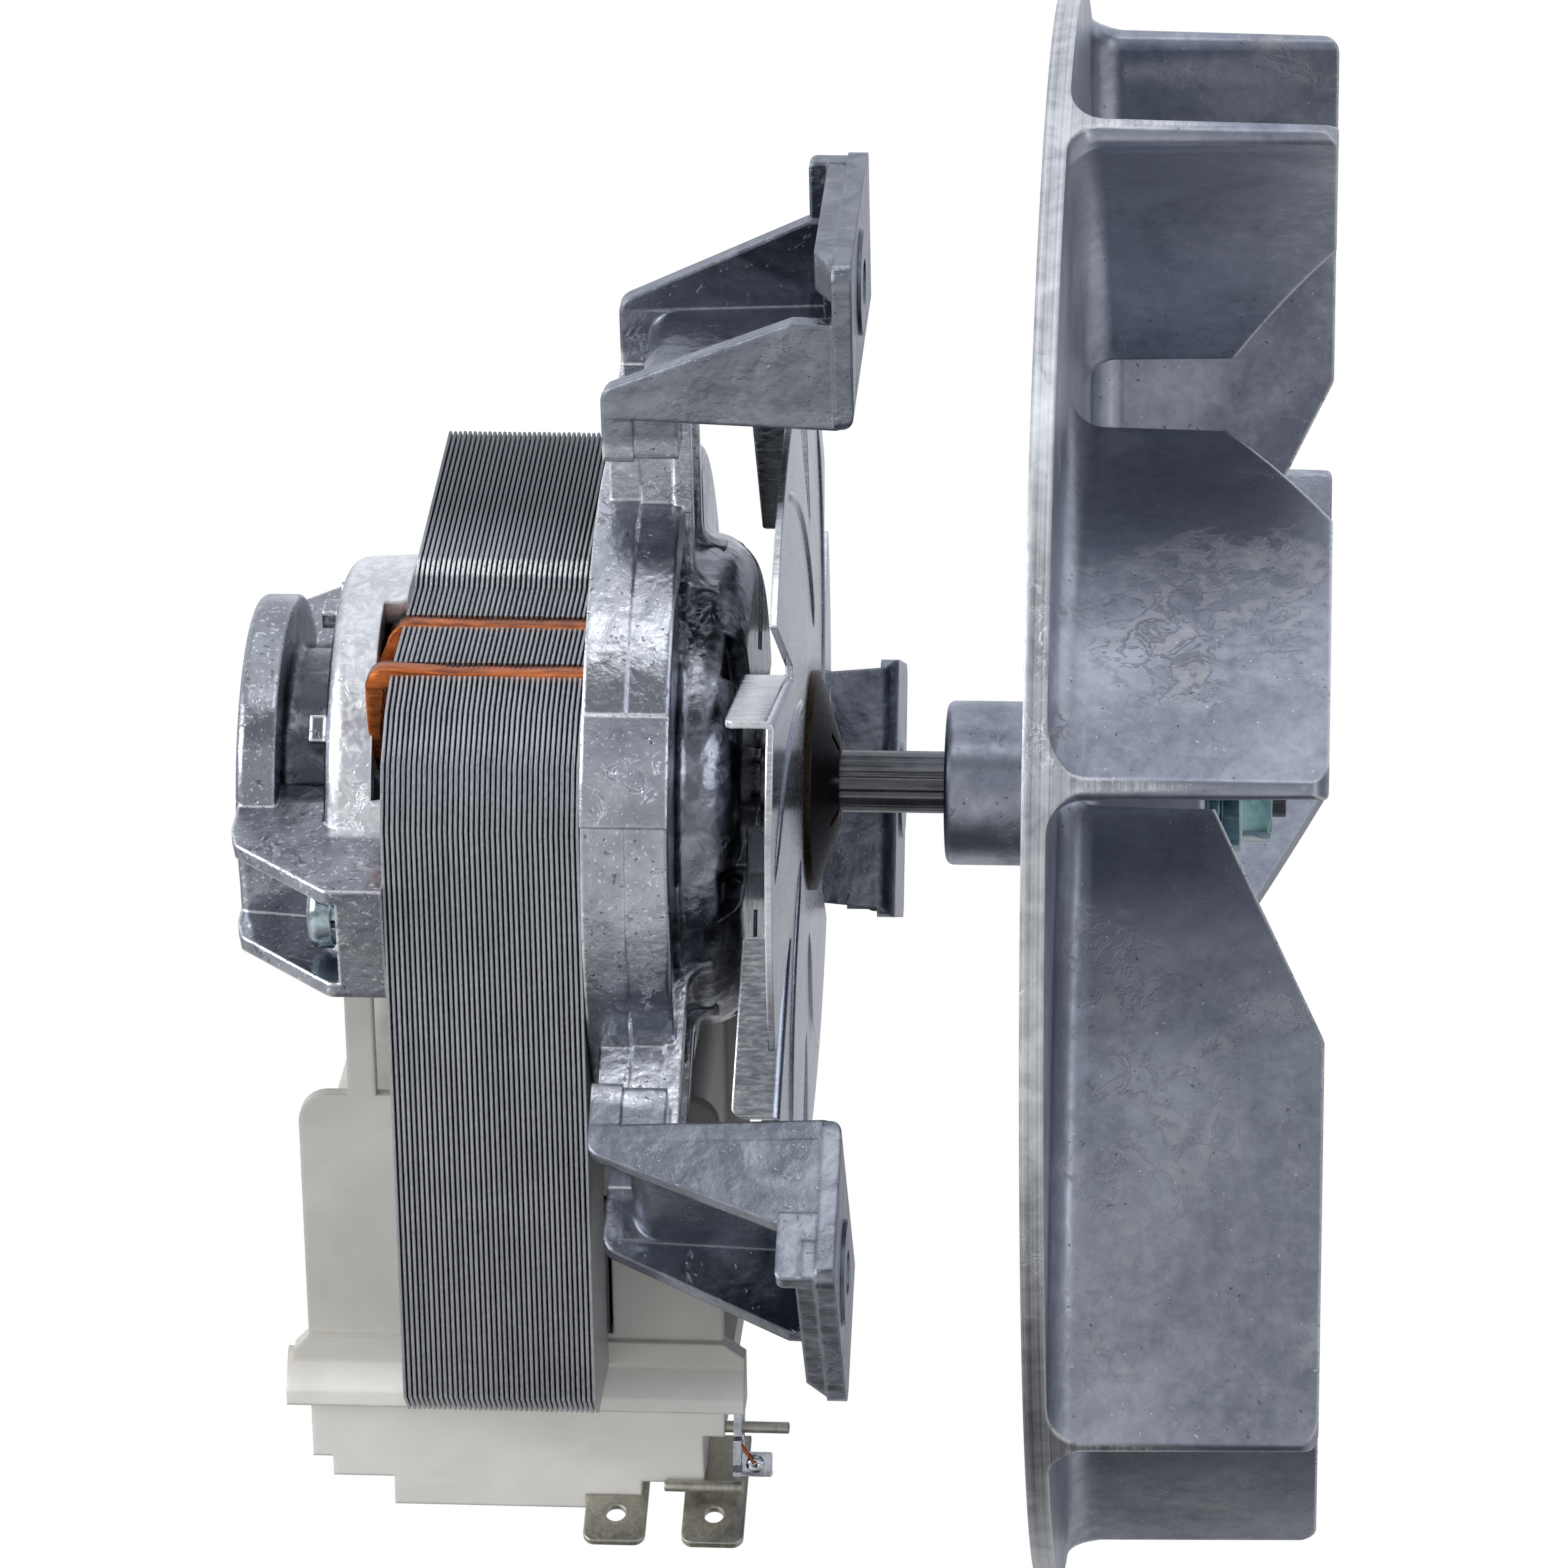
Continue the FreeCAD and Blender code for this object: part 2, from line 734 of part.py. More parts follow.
def arm_pad():
    floor_in = arm_floor_r - arm_floor_t
    rear_x = -pad_boss_h - pad_plate_t
    outline = [(-floor_in, -pad_half, pad_corner), (-pad_tip_r, -pad_half, pad_corner + 1.0),
               (-pad_tip_r, pad_half, pad_corner), (-floor_in, pad_half, pad_corner)]
    plate = prism_x(outline, rear_x, -pad_boss_h)
    rim_x = -pad_t - 0.5
    seat_x = -pad_boss_h - 0.2
    low = -pad_half + 1.4
    high = pad_half - 0.6
    section = [(seat_x, low), (rear_x, low), (rim_x, low + pad_rim_cut), (rim_x, high, 0.8), (seat_x, high)]
    face = outline_face(section, lambda x, z: V(x, -pad_tip_r + pad_rim_w, z))
    rim = face.extrude(V(0, -pad_rim_w + 0.6, 0))
    ear = cyl(-pad_t, 0.0, pad_boss_r, y=-bolt_circle_r)
    post_x = -pad_t - post_back
    post_in = arm_front_r - 1.0
    post_out = pad_tip_r - 0.5
    post = [(post_x, post_in), (post_x, post_out, 0.8), (rear_x + 0.3, post_out), (rear_x + 0.3, post_in)]
    return [plate, rim, ear, plate_z(post, arm_half - arm_wall, arm_half)]


def pad_webs():
    # small corner fillets between the cheeks and the pad
    floor_in = arm_floor_r - arm_floor_t
    x0 = -pad_boss_h - pad_plate_t + 0.3
    inner = arm_half - arm_wall + 0.2
    webs = []
    for sign in (-1, 1):
        points = [(x0, sign * inner), (x0 - pad_web, sign * inner), (x0, sign * (inner - pad_web))]
        face = outline_face(points, lambda x, z: V(x, -floor_in, z))
        webs.append(face.extrude(V(0, -(arm_front_r - floor_in - 0.4), 0)))
    return webs


def pad_bend():
    # the corner outside the curve where the floor bends up into the pad
    x = -pad_boss_h
    r = arm_floor_r - arm_floor_t
    end_r = r + pad_bend_r + 0.05
    back_x = x - pad_bend_r - 0.05
    points = [(x + 0.2, r - 1), (x + 0.2, end_r), (x, end_r), (x, r, pad_bend_r), (back_x, r), (back_x, r - 1)]
    return plate_z(points, -pad_half - 1, pad_half + 1)


def front_arm():
    front_x = -pad_boss_h - pad_plate_t + 0.4
    arm = fused([arm_floor(front_x)] + arm_leg() + arm_walls(front_x) + arm_pad() + pad_webs())
    arm = arm.cut(arm_scoop()).cut(pad_bend())
    return arm.cut(cyl(-pad_t - 4, 2.0, bolt_hole_r, y=-bolt_circle_r))


def ring_eye():
    # the opening in the ring's plate behind each arm
    eye = cyl(ring_front_x - 3, ring_front_x + 2, ring_r - ring_wall, dome_r + eye_gap)
    return eye.common(box(ring_front_x - 3, ring_front_x + 2, -ring_r, -12, -eye_half, eye_half))


def make_front_bracket():
    eyes = [turned(ring_eye(), at) for at in arm_angles]
    body = front_body().cut(Part.makeCompound(eyes))
    lugs = [leaned(clamp_hole(stack_front_x, stack_front_x + lug_len, lug_r, sign)) for sign in (-1, 1)]
    arms = [turned(front_arm(), at) for at in arm_angles]
    ribs = [turned(rib, at) for at in arm_angles for rib in arm_ribs()]
    casting = body.multiFuse([ring_lip()] + lugs + arms + ribs)
    vent = box(dome_front_x - vent_deep, dome_front_x + 1, -dome_r + vent_out, -boss_r - vent_in,
               -vent_w / 2, vent_w / 2)
    vents = [turned(vent, 360.0 / vent_count * (n + 0.5)) for n in range(vent_count)]
    casting = casting.cut(Part.makeCompound(vents))
    casting = casting.cut(cyl(front_bearing_x - 1, front_end_x, bearing_seat_r))
    casting = casting.cut(cyl(front_bearing_x - 1, front_bearing_x + felt_len + 0.05, felt_out + seat_gap))
    thread_end_x = stack_front_x + screw_end + 0.4
    for sign in (-1, 1):
        casting = casting.cut(leaned(clamp_hole(stack_front_x - 1, thread_end_x, clamp_r, sign)))
    coil_room = box(stack_front_x - 1, former_front_x + 3, -flange_y - 1.2, flange_y + 1.2,
                    -ring_r - 6, flange_top + 1.2)
    save(casting.cut(leaned(coil_room)), "front_bracket")


# rear casting: cup, neck and ring in one outline, with two channel feet
def rear_body():
    ring_in_x = rear_ring_x + rear_ring_t
    rim_r = rear_ring_r - rear_ring_rim
    sunk_x = rear_ring_x + rear_ring_sink
    floor_x = cup_rear_x + cup_floor_t
    return revolve([
        (stack_rear_x, cup_r - cup_wall), (stack_rear_x, cup_r), (cup_rear_x, cup_r - 0.4, cup_round),
        (cup_rear_x, rear_boss_r, 0.8), (ring_in_x, rear_boss_r, 0.8), (ring_in_x, rear_ring_r, 0.4),
        (rear_ring_x, rear_ring_r, 0.9), (rear_ring_x, rim_r, 0.5), (sunk_x, rim_r - 0.4),
        (sunk_x, shoulder_r), (rear_end_x, shoulder_r), (rear_end_x, boss_r), (floor_x, boss_r + 0.6),
        (floor_x, cup_r - cup_wall, 1.0),
    ])


def rear_foot():
    hub_x = rear_ring_x + 0.3
    outline = [(hub_x, rear_boss_r), (hub_x, rear_ring_r + 3.5, 1.0),
               (hub_x + 0.7, rear_ring_r + foot_ring_out, 1.0), (foot_seat_x - 1.0, foot_out_r, 1.5),
               (stack_rear_x, foot_out_r), (stack_rear_x, rear_ring_r + 1.0), (cup_rear_x + 2, rear_boss_r)]
    back = [(hub_x, rear_boss_r), (hub_x, rear_ring_r + 1.5, 1.0), (foot_seat_x, rear_ring_r + 3.0),
            (foot_seat_x, rear_ring_r + 1.0), (hub_x + 2.7, rear_boss_r)]
    seat = box(foot_seat_x, stack_rear_x, -foot_out_r, -cup_r + 3.0, -foot_half, foot_half)
    foot = fused([seat, plate_z(outline, -foot_half, -foot_half + foot_wall),
                  plate_z(outline, foot_half - foot_wall, foot_half), plate_z(back, -foot_half, foot_half)])
    return foot.cut(cyl(cup_rear_x + 2, stack_rear_x + 1, cup_r - cup_wall))


def make_rear_bracket():
    clamp_at = math.degrees(math.atan2(clamp_z, clamp_y))
    feet = [turned(rear_foot(), -stack_lean - clamp_at), turned(rear_foot(), 180.0 - stack_lean - clamp_at)]
    pip_y = -cup_r + pip_in
    pip = box(cup_rear_x - pip_len, cup_rear_x + 0.5, pip_y, pip_y + pip_h, -pip_w / 2, pip_w / 2)
    pips = [turned(pip, 360.0 / pip_count * n + 12.0) for n in range(pip_count)]
    casting = rear_body().multiFuse(feet + pips)
    hole_r = clamp_r + clamp_room
    for sign in (-1, 1):
        casting = casting.cut(leaned(clamp_hole(foot_seat_x - 12, stack_rear_x + 14, hole_r, sign)))
        casting = casting.cut(leaned(clamp_hole(foot_seat_x - 20, foot_seat_x, head_room_r, sign)))
    casting = casting.cut(cyl(rear_bearing_x, rear_end_x + 3, bearing_seat_r))
    casting = casting.cut(cyl(rear_end_x - felt_len - 0.05, rear_end_x + 3, felt_out + seat_gap))
    strap_room = box(stack_rear_x - strap_proud - 0.4, stack_rear_x + 1, -21.0, -5.8, 3.0, 21.5)
    for angle in (0, 180):
        casting = casting.cut(leaned(turned(strap_room, angle)))
    save(casting, "rear_bracket")


# clamp screws, from the rear feet through the stack into the front casting
def make_clamps():
    screws = []
    springs = []
    spring_x = foot_seat_x - coil_t
    head_x = spring_x - head_t
    end_x = stack_front_x + screw_end
    shank_r = clamp_r - 0.05
    screw = revolve([(head_x, 0), (head_x, head_r, head_round), (spring_x, head_r, 0.3), (spring_x, shank_r),
                     (end_x, shank_r, 0.5), (end_x, 0)])
    slot_x = head_x + driver_deep
    screw = screw.cut(box(head_x - 0.5, slot_x, -head_r - 1, head_r + 1, -driver_w / 2, driver_w / 2))
    spring = cyl(spring_x, foot_seat_x, coil_r, clamp_r + 0.1)
    spring = spring.cut(box(spring_x - 1, foot_seat_x + 1, -coil_r - 1, 0, -coil_split / 2, coil_split / 2))
    for sign in (-1, 1):
        at = V(0, sign * clamp_y, sign * clamp_z)
        screws.append(leaned(screw.translated(at)))
        springs.append(leaned(spring.translated(at)))
    save(Part.makeCompound(screws), "clamp_screws")
    save(Part.makeCompound(springs), "spring_washers")


# cooling fan: a dished sheet with slots, its tabs folded back
def fan_tab(at):
    # the fold line runs inwards from the rim and sweeps round; a wedge beside it
    # is stamped out, and the tab is folded back along it
    oy, oz = polar(fan_r, at)
    iy, iz = polar(fan_tab_in_r, at + fan_tab_sweep)
    length = math.hypot(iy - oy, iz - oz)
    along = V(0, (iy - oy) / length, (iz - oz) / length)
    ty, tz = polar(1.0, at + 90.0)
    normal = V(0, along.z, -along.y)
    if normal.y * ty + normal.z * tz < 0:
        normal = normal * -1
    outer = V(fan_x - fan_dish, oy, oz)
    rise = fan_dish * (fan_r - fan_tab_in_r) / (fan_r - fan_flat_r)

    def on_tab(s, h):
        return outer + along * s + V(rise * s / length - h, 0, 0)

    def on_disc(s, w):
        return V(fan_x - 2, oy, oz) + along * s + normal * w

    points = [(0, -fan_t), (length, -fan_t), (length, fan_tab_h, 0.4), (0, fan_tab_h, fan_tab_round)]
    tab = outline_face(points, on_tab).extrude(normal * fan_t)
    slope = (fan_notch_out - fan_notch_in) / (length - fan_notch_at)
    start = -fan_notch_at
    wedge = [(start, fan_t), (length, fan_t), (length, fan_notch_in),
             (start, fan_notch_in + slope * (length - start))]
    notch = outline_face(wedge, on_disc).extrude(V(4, 0, 0))

    def sliver(s):
        # the corner outside the bend's curve, taken off along the fold
        corner = outer + along * s + V(rise * s / length + fan_t, 0, 0) + normal * fan_t
        below = corner - V(fan_bend_r, 0, 0)
        beside = corner - normal * fan_bend_r
        through = corner - (V(1, 0, 0) + normal) * (fan_bend_r * (1 - math.sqrt(0.5)))
        clear = corner + V(1, 0, 0) + normal
        curve = Part.Arc(below, through, beside)
        sides = [Part.LineSegment(beside, clear), Part.LineSegment(clear, below)]
        return Part.Wire([edge.toShape() for edge in [curve] + sides])

    return tab, notch, Part.makeLoft([sliver(start), sliver(length)], True, True)


def make_fan():
    bore = shaft_r + seat_gap
    rim_x = fan_x - fan_dish
    disc = revolve([(fan_x, bore), (fan_x, fan_flat_r), (rim_x, fan_r), (rim_x + fan_t, fan_r),
                    (fan_x + fan_t, fan_flat_r), (fan_x + fan_t, bore)])
    tabs = []
    notches = []
    bends = []
    for n in range(fan_tabs):
        tab, notch, bend = fan_tab(fan_tab_at + 360.0 / fan_tabs * n)
        tabs.append(tab)
        notches.append(notch)
        bends.append(bend)
    fan = disc.cut(Part.makeCompound(notches)).multiFuse(tabs)
    save(fan.cut(Part.makeCompound(bends)), "cooling_fan")
    save(cyl(dome_front_x + collar_gap, fan_x - seat_gap, collar_r, bore), "fan_collar")


def make_star_washer():
    x0 = fan_x + fan_t + seat_gap
    x1 = x0 + star_len
    bore = shaft_r + seat_gap
    star = revolve([(x0, star_base_r - 0.3), (x0, star_base_r), (x0 + star_t, star_base_r),
                    (x1, star_tip_r, 0.4), (x1, bore), (x1 - star_t, bore), (x1 - star_t, star_tip_r - 0.2)])
    slot = box(x0 - 1, x1 + 1, -star_slot_r, 0, -star_slot_w / 2, star_slot_w / 2)
    slots = [turned(slot, 360.0 / star_teeth * n) for n in range(star_teeth)]
    save(star.cut(Part.makeCompound(slots)), "star_washer")


# impeller casting: disc and hub in one outline, with drafted and swept blades
disc_front = wheel_back_x + wheel_disc_t
blade_oy, blade_oz = polar(blade_out_r - blade_t / 2, 0.0)
blade_iy, blade_iz = polar(blade_in_r, blade_sweep)
blade_chord = math.hypot(blade_iy - blade_oy, blade_iz - blade_oz)
along_y = (blade_iy - blade_oy) / blade_chord
along_z = (blade_iz - blade_oz) / blade_chord
across_y = -along_z
across_z = along_y
blade_my = (blade_oy + blade_iy) / 2 + across_y * blade_bow
blade_mz = (blade_oz + blade_iz) / 2 + across_z * blade_bow


def beside(x, half, y, z, slope, side):
    # a step of half a thickness off the blade's bowed centre line
    step_y = across_y - slope * along_y
    step_z = across_z - slope * along_z
    size = math.hypot(step_y, step_z)
    return V(x, y + step_y / size * half * side, z + step_z / size * half * side)


def blade_section(x, half):
    outer = [beside(x, half, blade_oy, blade_oz, blade_lean, side) for side in (1, -1)]
    middle = [beside(x, half, blade_my, blade_mz, 0.0, side) for side in (1, -1)]
    inner = [beside(x, half, blade_iy, blade_iz, -blade_lean, side) for side in (1, -1)]
    tip_in = V(0, along_y - blade_lean * across_y, along_z - blade_lean * across_z)
    tip_out = V(0, along_y + blade_lean * across_y, along_z + blade_lean * across_z)
    nose_in = V(x, blade_iy, blade_iz) + tip_in * half
    nose_out = V(x, blade_oy, blade_oz) - tip_out * half
    arcs = [Part.Arc(outer[0], middle[0], inner[0]), Part.Arc(inner[0], nose_in, inner[1]),
            Part.Arc(inner[1], middle[1], outer[1]), Part.Arc(outer[1], nose_out, outer[0])]
    return Part.Wire([arc.toShape() for arc in arcs])


def blade_half(x):
    share = (x - disc_front) / (blade_tip_x - disc_front)
    return (blade_t + (blade_tip_t - blade_t) * share) / 2


def blade_root():
    # a quarter-round fillet, swept round the foot of the blade
    heights = [0.0, 0.12, 0.32, 0.6, 1.0]
    sections = []
    for h in heights:
        flare = blade_root_r * (1 - math.sqrt(1 - (1 - h) ** 2))
        x = disc_front + blade_root_r * h
        sections.append(blade_section(x, blade_half(x) + flare))
    return Part.makeLoft(sections, True, False)


def make_blade():
    foot_x = disc_front - 0.6
    ends = [blade_section(x, blade_half(x)) for x in (foot_x, blade_tip_x)]
    blade = Part.makeLoft(ends, True, True)
    # the inner end is cut back on a slope, with a rounded shoulder
    low_x = blade_tip_x - blade_cut_x
    points = [(-4.0, low_x - 2.0), (-4.0, blade_tip_x + 1), (blade_cut_len + 6.0, blade_tip_x + 1),
              (blade_cut_len, blade_tip_x, blade_cut_round), (0.0, low_x)]

    def on_blade(s, x):
        return V(x, blade_iy - along_y * s - across_y * 9, blade_iz - along_z * s - across_z * 9)

    cutter = outline_face(points, on_blade).extrude(V(0, across_y * 22, across_z * 22))
    blade = blade.cut(cutter).fuse(blade_root())
    return blade.common(cyl(wheel_back_x, blade_tip_x + 1, blade_out_r))


def make_impeller():
    bore = shaft_r + seat_gap
    body = revolve([
        (wheel_hub_back_x, bore), (wheel_hub_back_x, wheel_hub_r, wheel_hub_round),
        (wheel_back_x, wheel_hub_r, 1.0), (wheel_back_x, wheel_r), (disc_front, wheel_r),
        (disc_front, wheel_boss_r, wheel_boss_root),
        (wheel_boss_x, wheel_boss_r, 0.6), (wheel_boss_x, bore),
    ])
    blade = make_blade()
    blades = [turned(blade, blade_at + 360.0 / blade_count * n) for n in range(blade_count)]
    save(body.multiFuse(blades), "impeller")


def make_nut():
    washer_x = wheel_boss_x + seat_gap
    nut_x = washer_x + washer_t + seat_gap
    save(cyl(washer_x, washer_x + washer_t, washer_r, shaft_r + 0.1), "impeller_washer")
    corner_r = nut_across / 2 / math.cos(math.pi / 6)
    hexagon = [polar(corner_r, 60.0 * n + nut_turn) for n in range(6)]
    nut = fused([prism_x(hexagon, nut_x, nut_x + nut_t), cyl(nut_x, nut_x + nut_flange_t, nut_flange_r)])
    nut = nut.cut(cyl(nut_x - 1, nut_x + nut_t + 1, thread_r + seat_gap))
    crown = revolve([(nut_x, 0), (nut_x, nut_flange_r + 0.4), (nut_x + nut_t - 0.7, corner_r + 0.3),
                     (nut_x + nut_t, corner_r - 0.6), (nut_x + nut_t, 0)])
    save(nut.common(crown), "impeller_nut")


make_stack()
make_core_bar()
tab_pockets = [make_tab("terminal_tab_rear", tab_xs[0]), make_tab("terminal_tab_front", tab_xs[1])]
make_former(tab_pockets + make_pins())
make_winding()
make_shaft()
make_rotor()
make_bearings()
make_front_bracket()
make_rear_bracket()
make_clamps()
make_fan()
make_star_washer()
make_impeller()
make_nut()
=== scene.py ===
import bpy
import bmesh
import json
import math
from mathutils import Matrix, Vector

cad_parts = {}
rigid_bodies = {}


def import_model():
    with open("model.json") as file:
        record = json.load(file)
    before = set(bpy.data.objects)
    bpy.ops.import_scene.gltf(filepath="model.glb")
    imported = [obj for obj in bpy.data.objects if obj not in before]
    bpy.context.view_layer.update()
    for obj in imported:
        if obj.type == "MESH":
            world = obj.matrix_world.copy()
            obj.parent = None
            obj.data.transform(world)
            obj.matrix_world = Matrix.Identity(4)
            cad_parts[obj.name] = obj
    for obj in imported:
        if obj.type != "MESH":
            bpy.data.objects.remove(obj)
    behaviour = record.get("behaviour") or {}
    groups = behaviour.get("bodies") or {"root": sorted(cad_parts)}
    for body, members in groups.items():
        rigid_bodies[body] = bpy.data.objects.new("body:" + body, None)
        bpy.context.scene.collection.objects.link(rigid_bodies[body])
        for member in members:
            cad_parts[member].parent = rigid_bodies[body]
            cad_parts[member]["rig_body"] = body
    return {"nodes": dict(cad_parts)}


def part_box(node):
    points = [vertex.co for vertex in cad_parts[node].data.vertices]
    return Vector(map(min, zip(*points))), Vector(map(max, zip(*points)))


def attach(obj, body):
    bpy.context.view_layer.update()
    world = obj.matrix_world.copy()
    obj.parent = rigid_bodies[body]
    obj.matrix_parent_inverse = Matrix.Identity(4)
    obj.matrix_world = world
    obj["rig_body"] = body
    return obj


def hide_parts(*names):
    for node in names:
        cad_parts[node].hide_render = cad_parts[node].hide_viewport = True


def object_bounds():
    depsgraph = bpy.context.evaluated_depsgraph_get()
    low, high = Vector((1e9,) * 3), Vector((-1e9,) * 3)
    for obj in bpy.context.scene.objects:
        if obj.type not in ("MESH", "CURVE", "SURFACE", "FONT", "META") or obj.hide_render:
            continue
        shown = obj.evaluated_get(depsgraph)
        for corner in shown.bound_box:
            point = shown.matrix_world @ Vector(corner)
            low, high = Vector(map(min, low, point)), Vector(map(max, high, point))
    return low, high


# Fan motor with a cast impeller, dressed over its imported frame. Metres, +Z up, shaft along X.

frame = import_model()
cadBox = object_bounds()
nodes = frame["nodes"]
scene = bpy.context.scene
mm = 0.001
white = (1.0, 1.0, 1.0, 1.0)
print("frame loaded,", len(nodes), "nodes")


def linear(hexCode, alpha=1.0):
    # sRGB hex to the linear values that Blender's sockets hold
    values = []
    for start in (0, 2, 4):
        part = int(hexCode.lstrip("#")[start:start + 2], 16) / 255.0
        values.append(part / 12.92 if part <= 0.04045 else ((part + 0.055) / 1.055) ** 2.4)
    return (*values, alpha)


def addNode(tree, kind, links=None, **settings):
    # links maps an input's name or number to a value, to a socket, or to a node, whose result it then takes
    full = kind if kind.startswith(("Geometry", "Function", "NodeGroup")) else "ShaderNode" + kind
    node = tree.nodes.new(full)
    for key, value in settings.items():
        setattr(node, key, value)
    for key, value in (links or {}).items():
        if isinstance(value, bpy.types.Node):
            value = next(socket for socket in value.outputs if socket.enabled)
        if isinstance(value, bpy.types.NodeSocket):
            tree.links.new(value, node.inputs[key])
        else:
            node.inputs[key].default_value = value
    return node


def cloudy(place, size, detail=4.0, distortion=0.0, roughness=0.55):
    # a noise pattern's inputs, from the size of its features in millimetres
    return {"Vector": place, "Scale": 1.0 / (size * mm), "Detail": detail, "Roughness": roughness,
            "Distortion": distortion}


def patches(tree, pattern, low, high):
    # a noise pattern cut into patches, from 0 at the low level to 1 at the high one
    noise = addNode(tree, "TexNoise", pattern)
    return addNode(tree, "MapRange", {0: noise, 1: low, 2: high})


# camera, fitted to the rim of the impeller and the three mounting pads
cameraView = {"azimuth": 4.188, "elevation": -0.846, "roll": 0.964, "distance": 0.73154,
              "target": (-0.008955, 0.0, -0.00041), "lens": 167.956, "sensor": 36.0,
              "near": 0.05, "far": 20.0}


def buildCamera(view):
    a, e, r = (math.radians(view[key]) for key in ("azimuth", "elevation", "roll"))
    back = Vector((math.sin(a) * math.cos(e), -math.cos(a) * math.cos(e), math.sin(e)))
    right = (-back).cross(Vector((0, 0, 1))).normalized()
    up = right.cross(-back)
    rolledRight = right * math.cos(r) + up * math.sin(r)
    rolledUp = up * math.cos(r) - right * math.sin(r)
    data = bpy.data.cameras.new("photoCamera")
    data.lens = view["lens"]
    data.sensor_width = view["sensor"]
    data.clip_start = view["near"]
    data.clip_end = view["far"]
    camera = bpy.data.objects.new("photoCamera", data)
    scene.collection.objects.link(camera)
    turn = Matrix((rolledRight, rolledUp, back)).transposed().to_4x4()
    camera.matrix_world = Matrix.Translation(Vector(view["target"]) + back * view["distance"]) @ turn
    scene.camera = camera


buildCamera(cameraView)
print("camera set")

# studio: front and back are pairs of height, from 0 straight down to 1 straight up, and brightness
studio = {"floorDrop": 0.32, "floorSize": 6.0, "paper": "#e4e4e4", "paperGlow": 0.42,
          "paperBelow": "#5c5c5e", "paperAway": "#efefef", "shadeFrom": 0.12, "shadeTo": 0.42,
          "fill": 0.52, "beyondFrom": 0.78, "beyondTo": 0.96, "beyond": 0.6, "beyondLevel": 0.05,
          "tint": "#f1f4fb",
          "front": [(0.0, 0.05), (0.06, 0.08), (0.20, 0.40), (0.42, 0.50), (0.60, 0.66), (0.70, 0.22),
                    (0.77, 0.20), (0.85, 0.80), (0.92, 0.60), (1.0, 1.15)],
          "back": [(0.0, 0.08), (0.15, 0.12), (0.42, 0.40), (0.55, 0.70), (0.66, 1.0), (0.84, 1.0),
                   (0.93, 0.75), (1.0, 1.15)],
          "frontToBack": [(0.40, 0.0), (0.62, 1.0)]}


def grey(level):
    return (level, level, level, 1.0)


def buildWorld(size):
    world = bpy.data.worlds.new("studioSurround")
    scene.world = world
    world.use_nodes = True
    tree = world.node_tree
    tree.nodes.clear()
    place = addNode(tree, "TexCoord")
    axes = addNode(tree, "SeparateXYZ", {0: place.outputs["Generated"]})

    # height from 0 straight down to 1 straight up; depth from 0 towards the front to 1 at the back
    height = addNode(tree, "MapRange", {0: axes.outputs["Z"], 1: -1.0, 2: 1.0})
    depth = addNode(tree, "MapRange", {0: axes.outputs["Y"], 1: -1.0, 2: 1.0})
    behind = addNode(tree, "ValToRGB", {0: height})
    ahead = addNode(tree, "ValToRGB", {0: height})
    share = addNode(tree, "ValToRGB", {0: depth})
    for node, stops in ((behind, size["back"]), (ahead, size["front"]), (share, size["frontToBack"])):
        for element, (position, level) in zip(node.color_ramp.elements, stops[:2]):
            element.position = position
            element.color = grey(level)
        for position, level in stops[2:]:
            node.color_ramp.elements.new(position).color = grey(level)
    around = addNode(tree, "Mix", {0: share, 6: ahead, 7: behind}, data_type="RGBA")
    # the room is darker beyond the impeller, which draws the hollows at the blades' roots
    beyond = addNode(tree, "MapRange", {0: axes.outputs["X"], 1: size["beyondFrom"], 2: size["beyondTo"],
                                        4: size["beyond"]})
    around = addNode(tree, "Mix", {0: beyond, 6: around, 7: grey(size["beyondLevel"])}, data_type="RGBA")
    tinted = addNode(tree, "Mix", {0: 1.0, 6: around, 7: linear(size["tint"])}, data_type="RGBA",
                     blend_type="MULTIPLY")
    # matt surfaces get an even white light, so that only the metal sees the room
    rays = addNode(tree, "LightPath").outputs
    matt = addNode(tree, "Mix", {0: rays["Is Diffuse Ray"], 6: tinted, 7: grey(size["fill"])},
                   data_type="RGBA")
    seen = addNode(tree, "Math", {0: rays["Is Camera Ray"], 1: rays["Is Transmission Ray"]},
                   operation="MAXIMUM")
    colour = addNode(tree, "Mix", {0: seen, 6: matt, 7: white}, data_type="RGBA")
    surround = addNode(tree, "Background", {0: colour, 1: 1.0})
    addNode(tree, "OutputWorld", {0: surround})


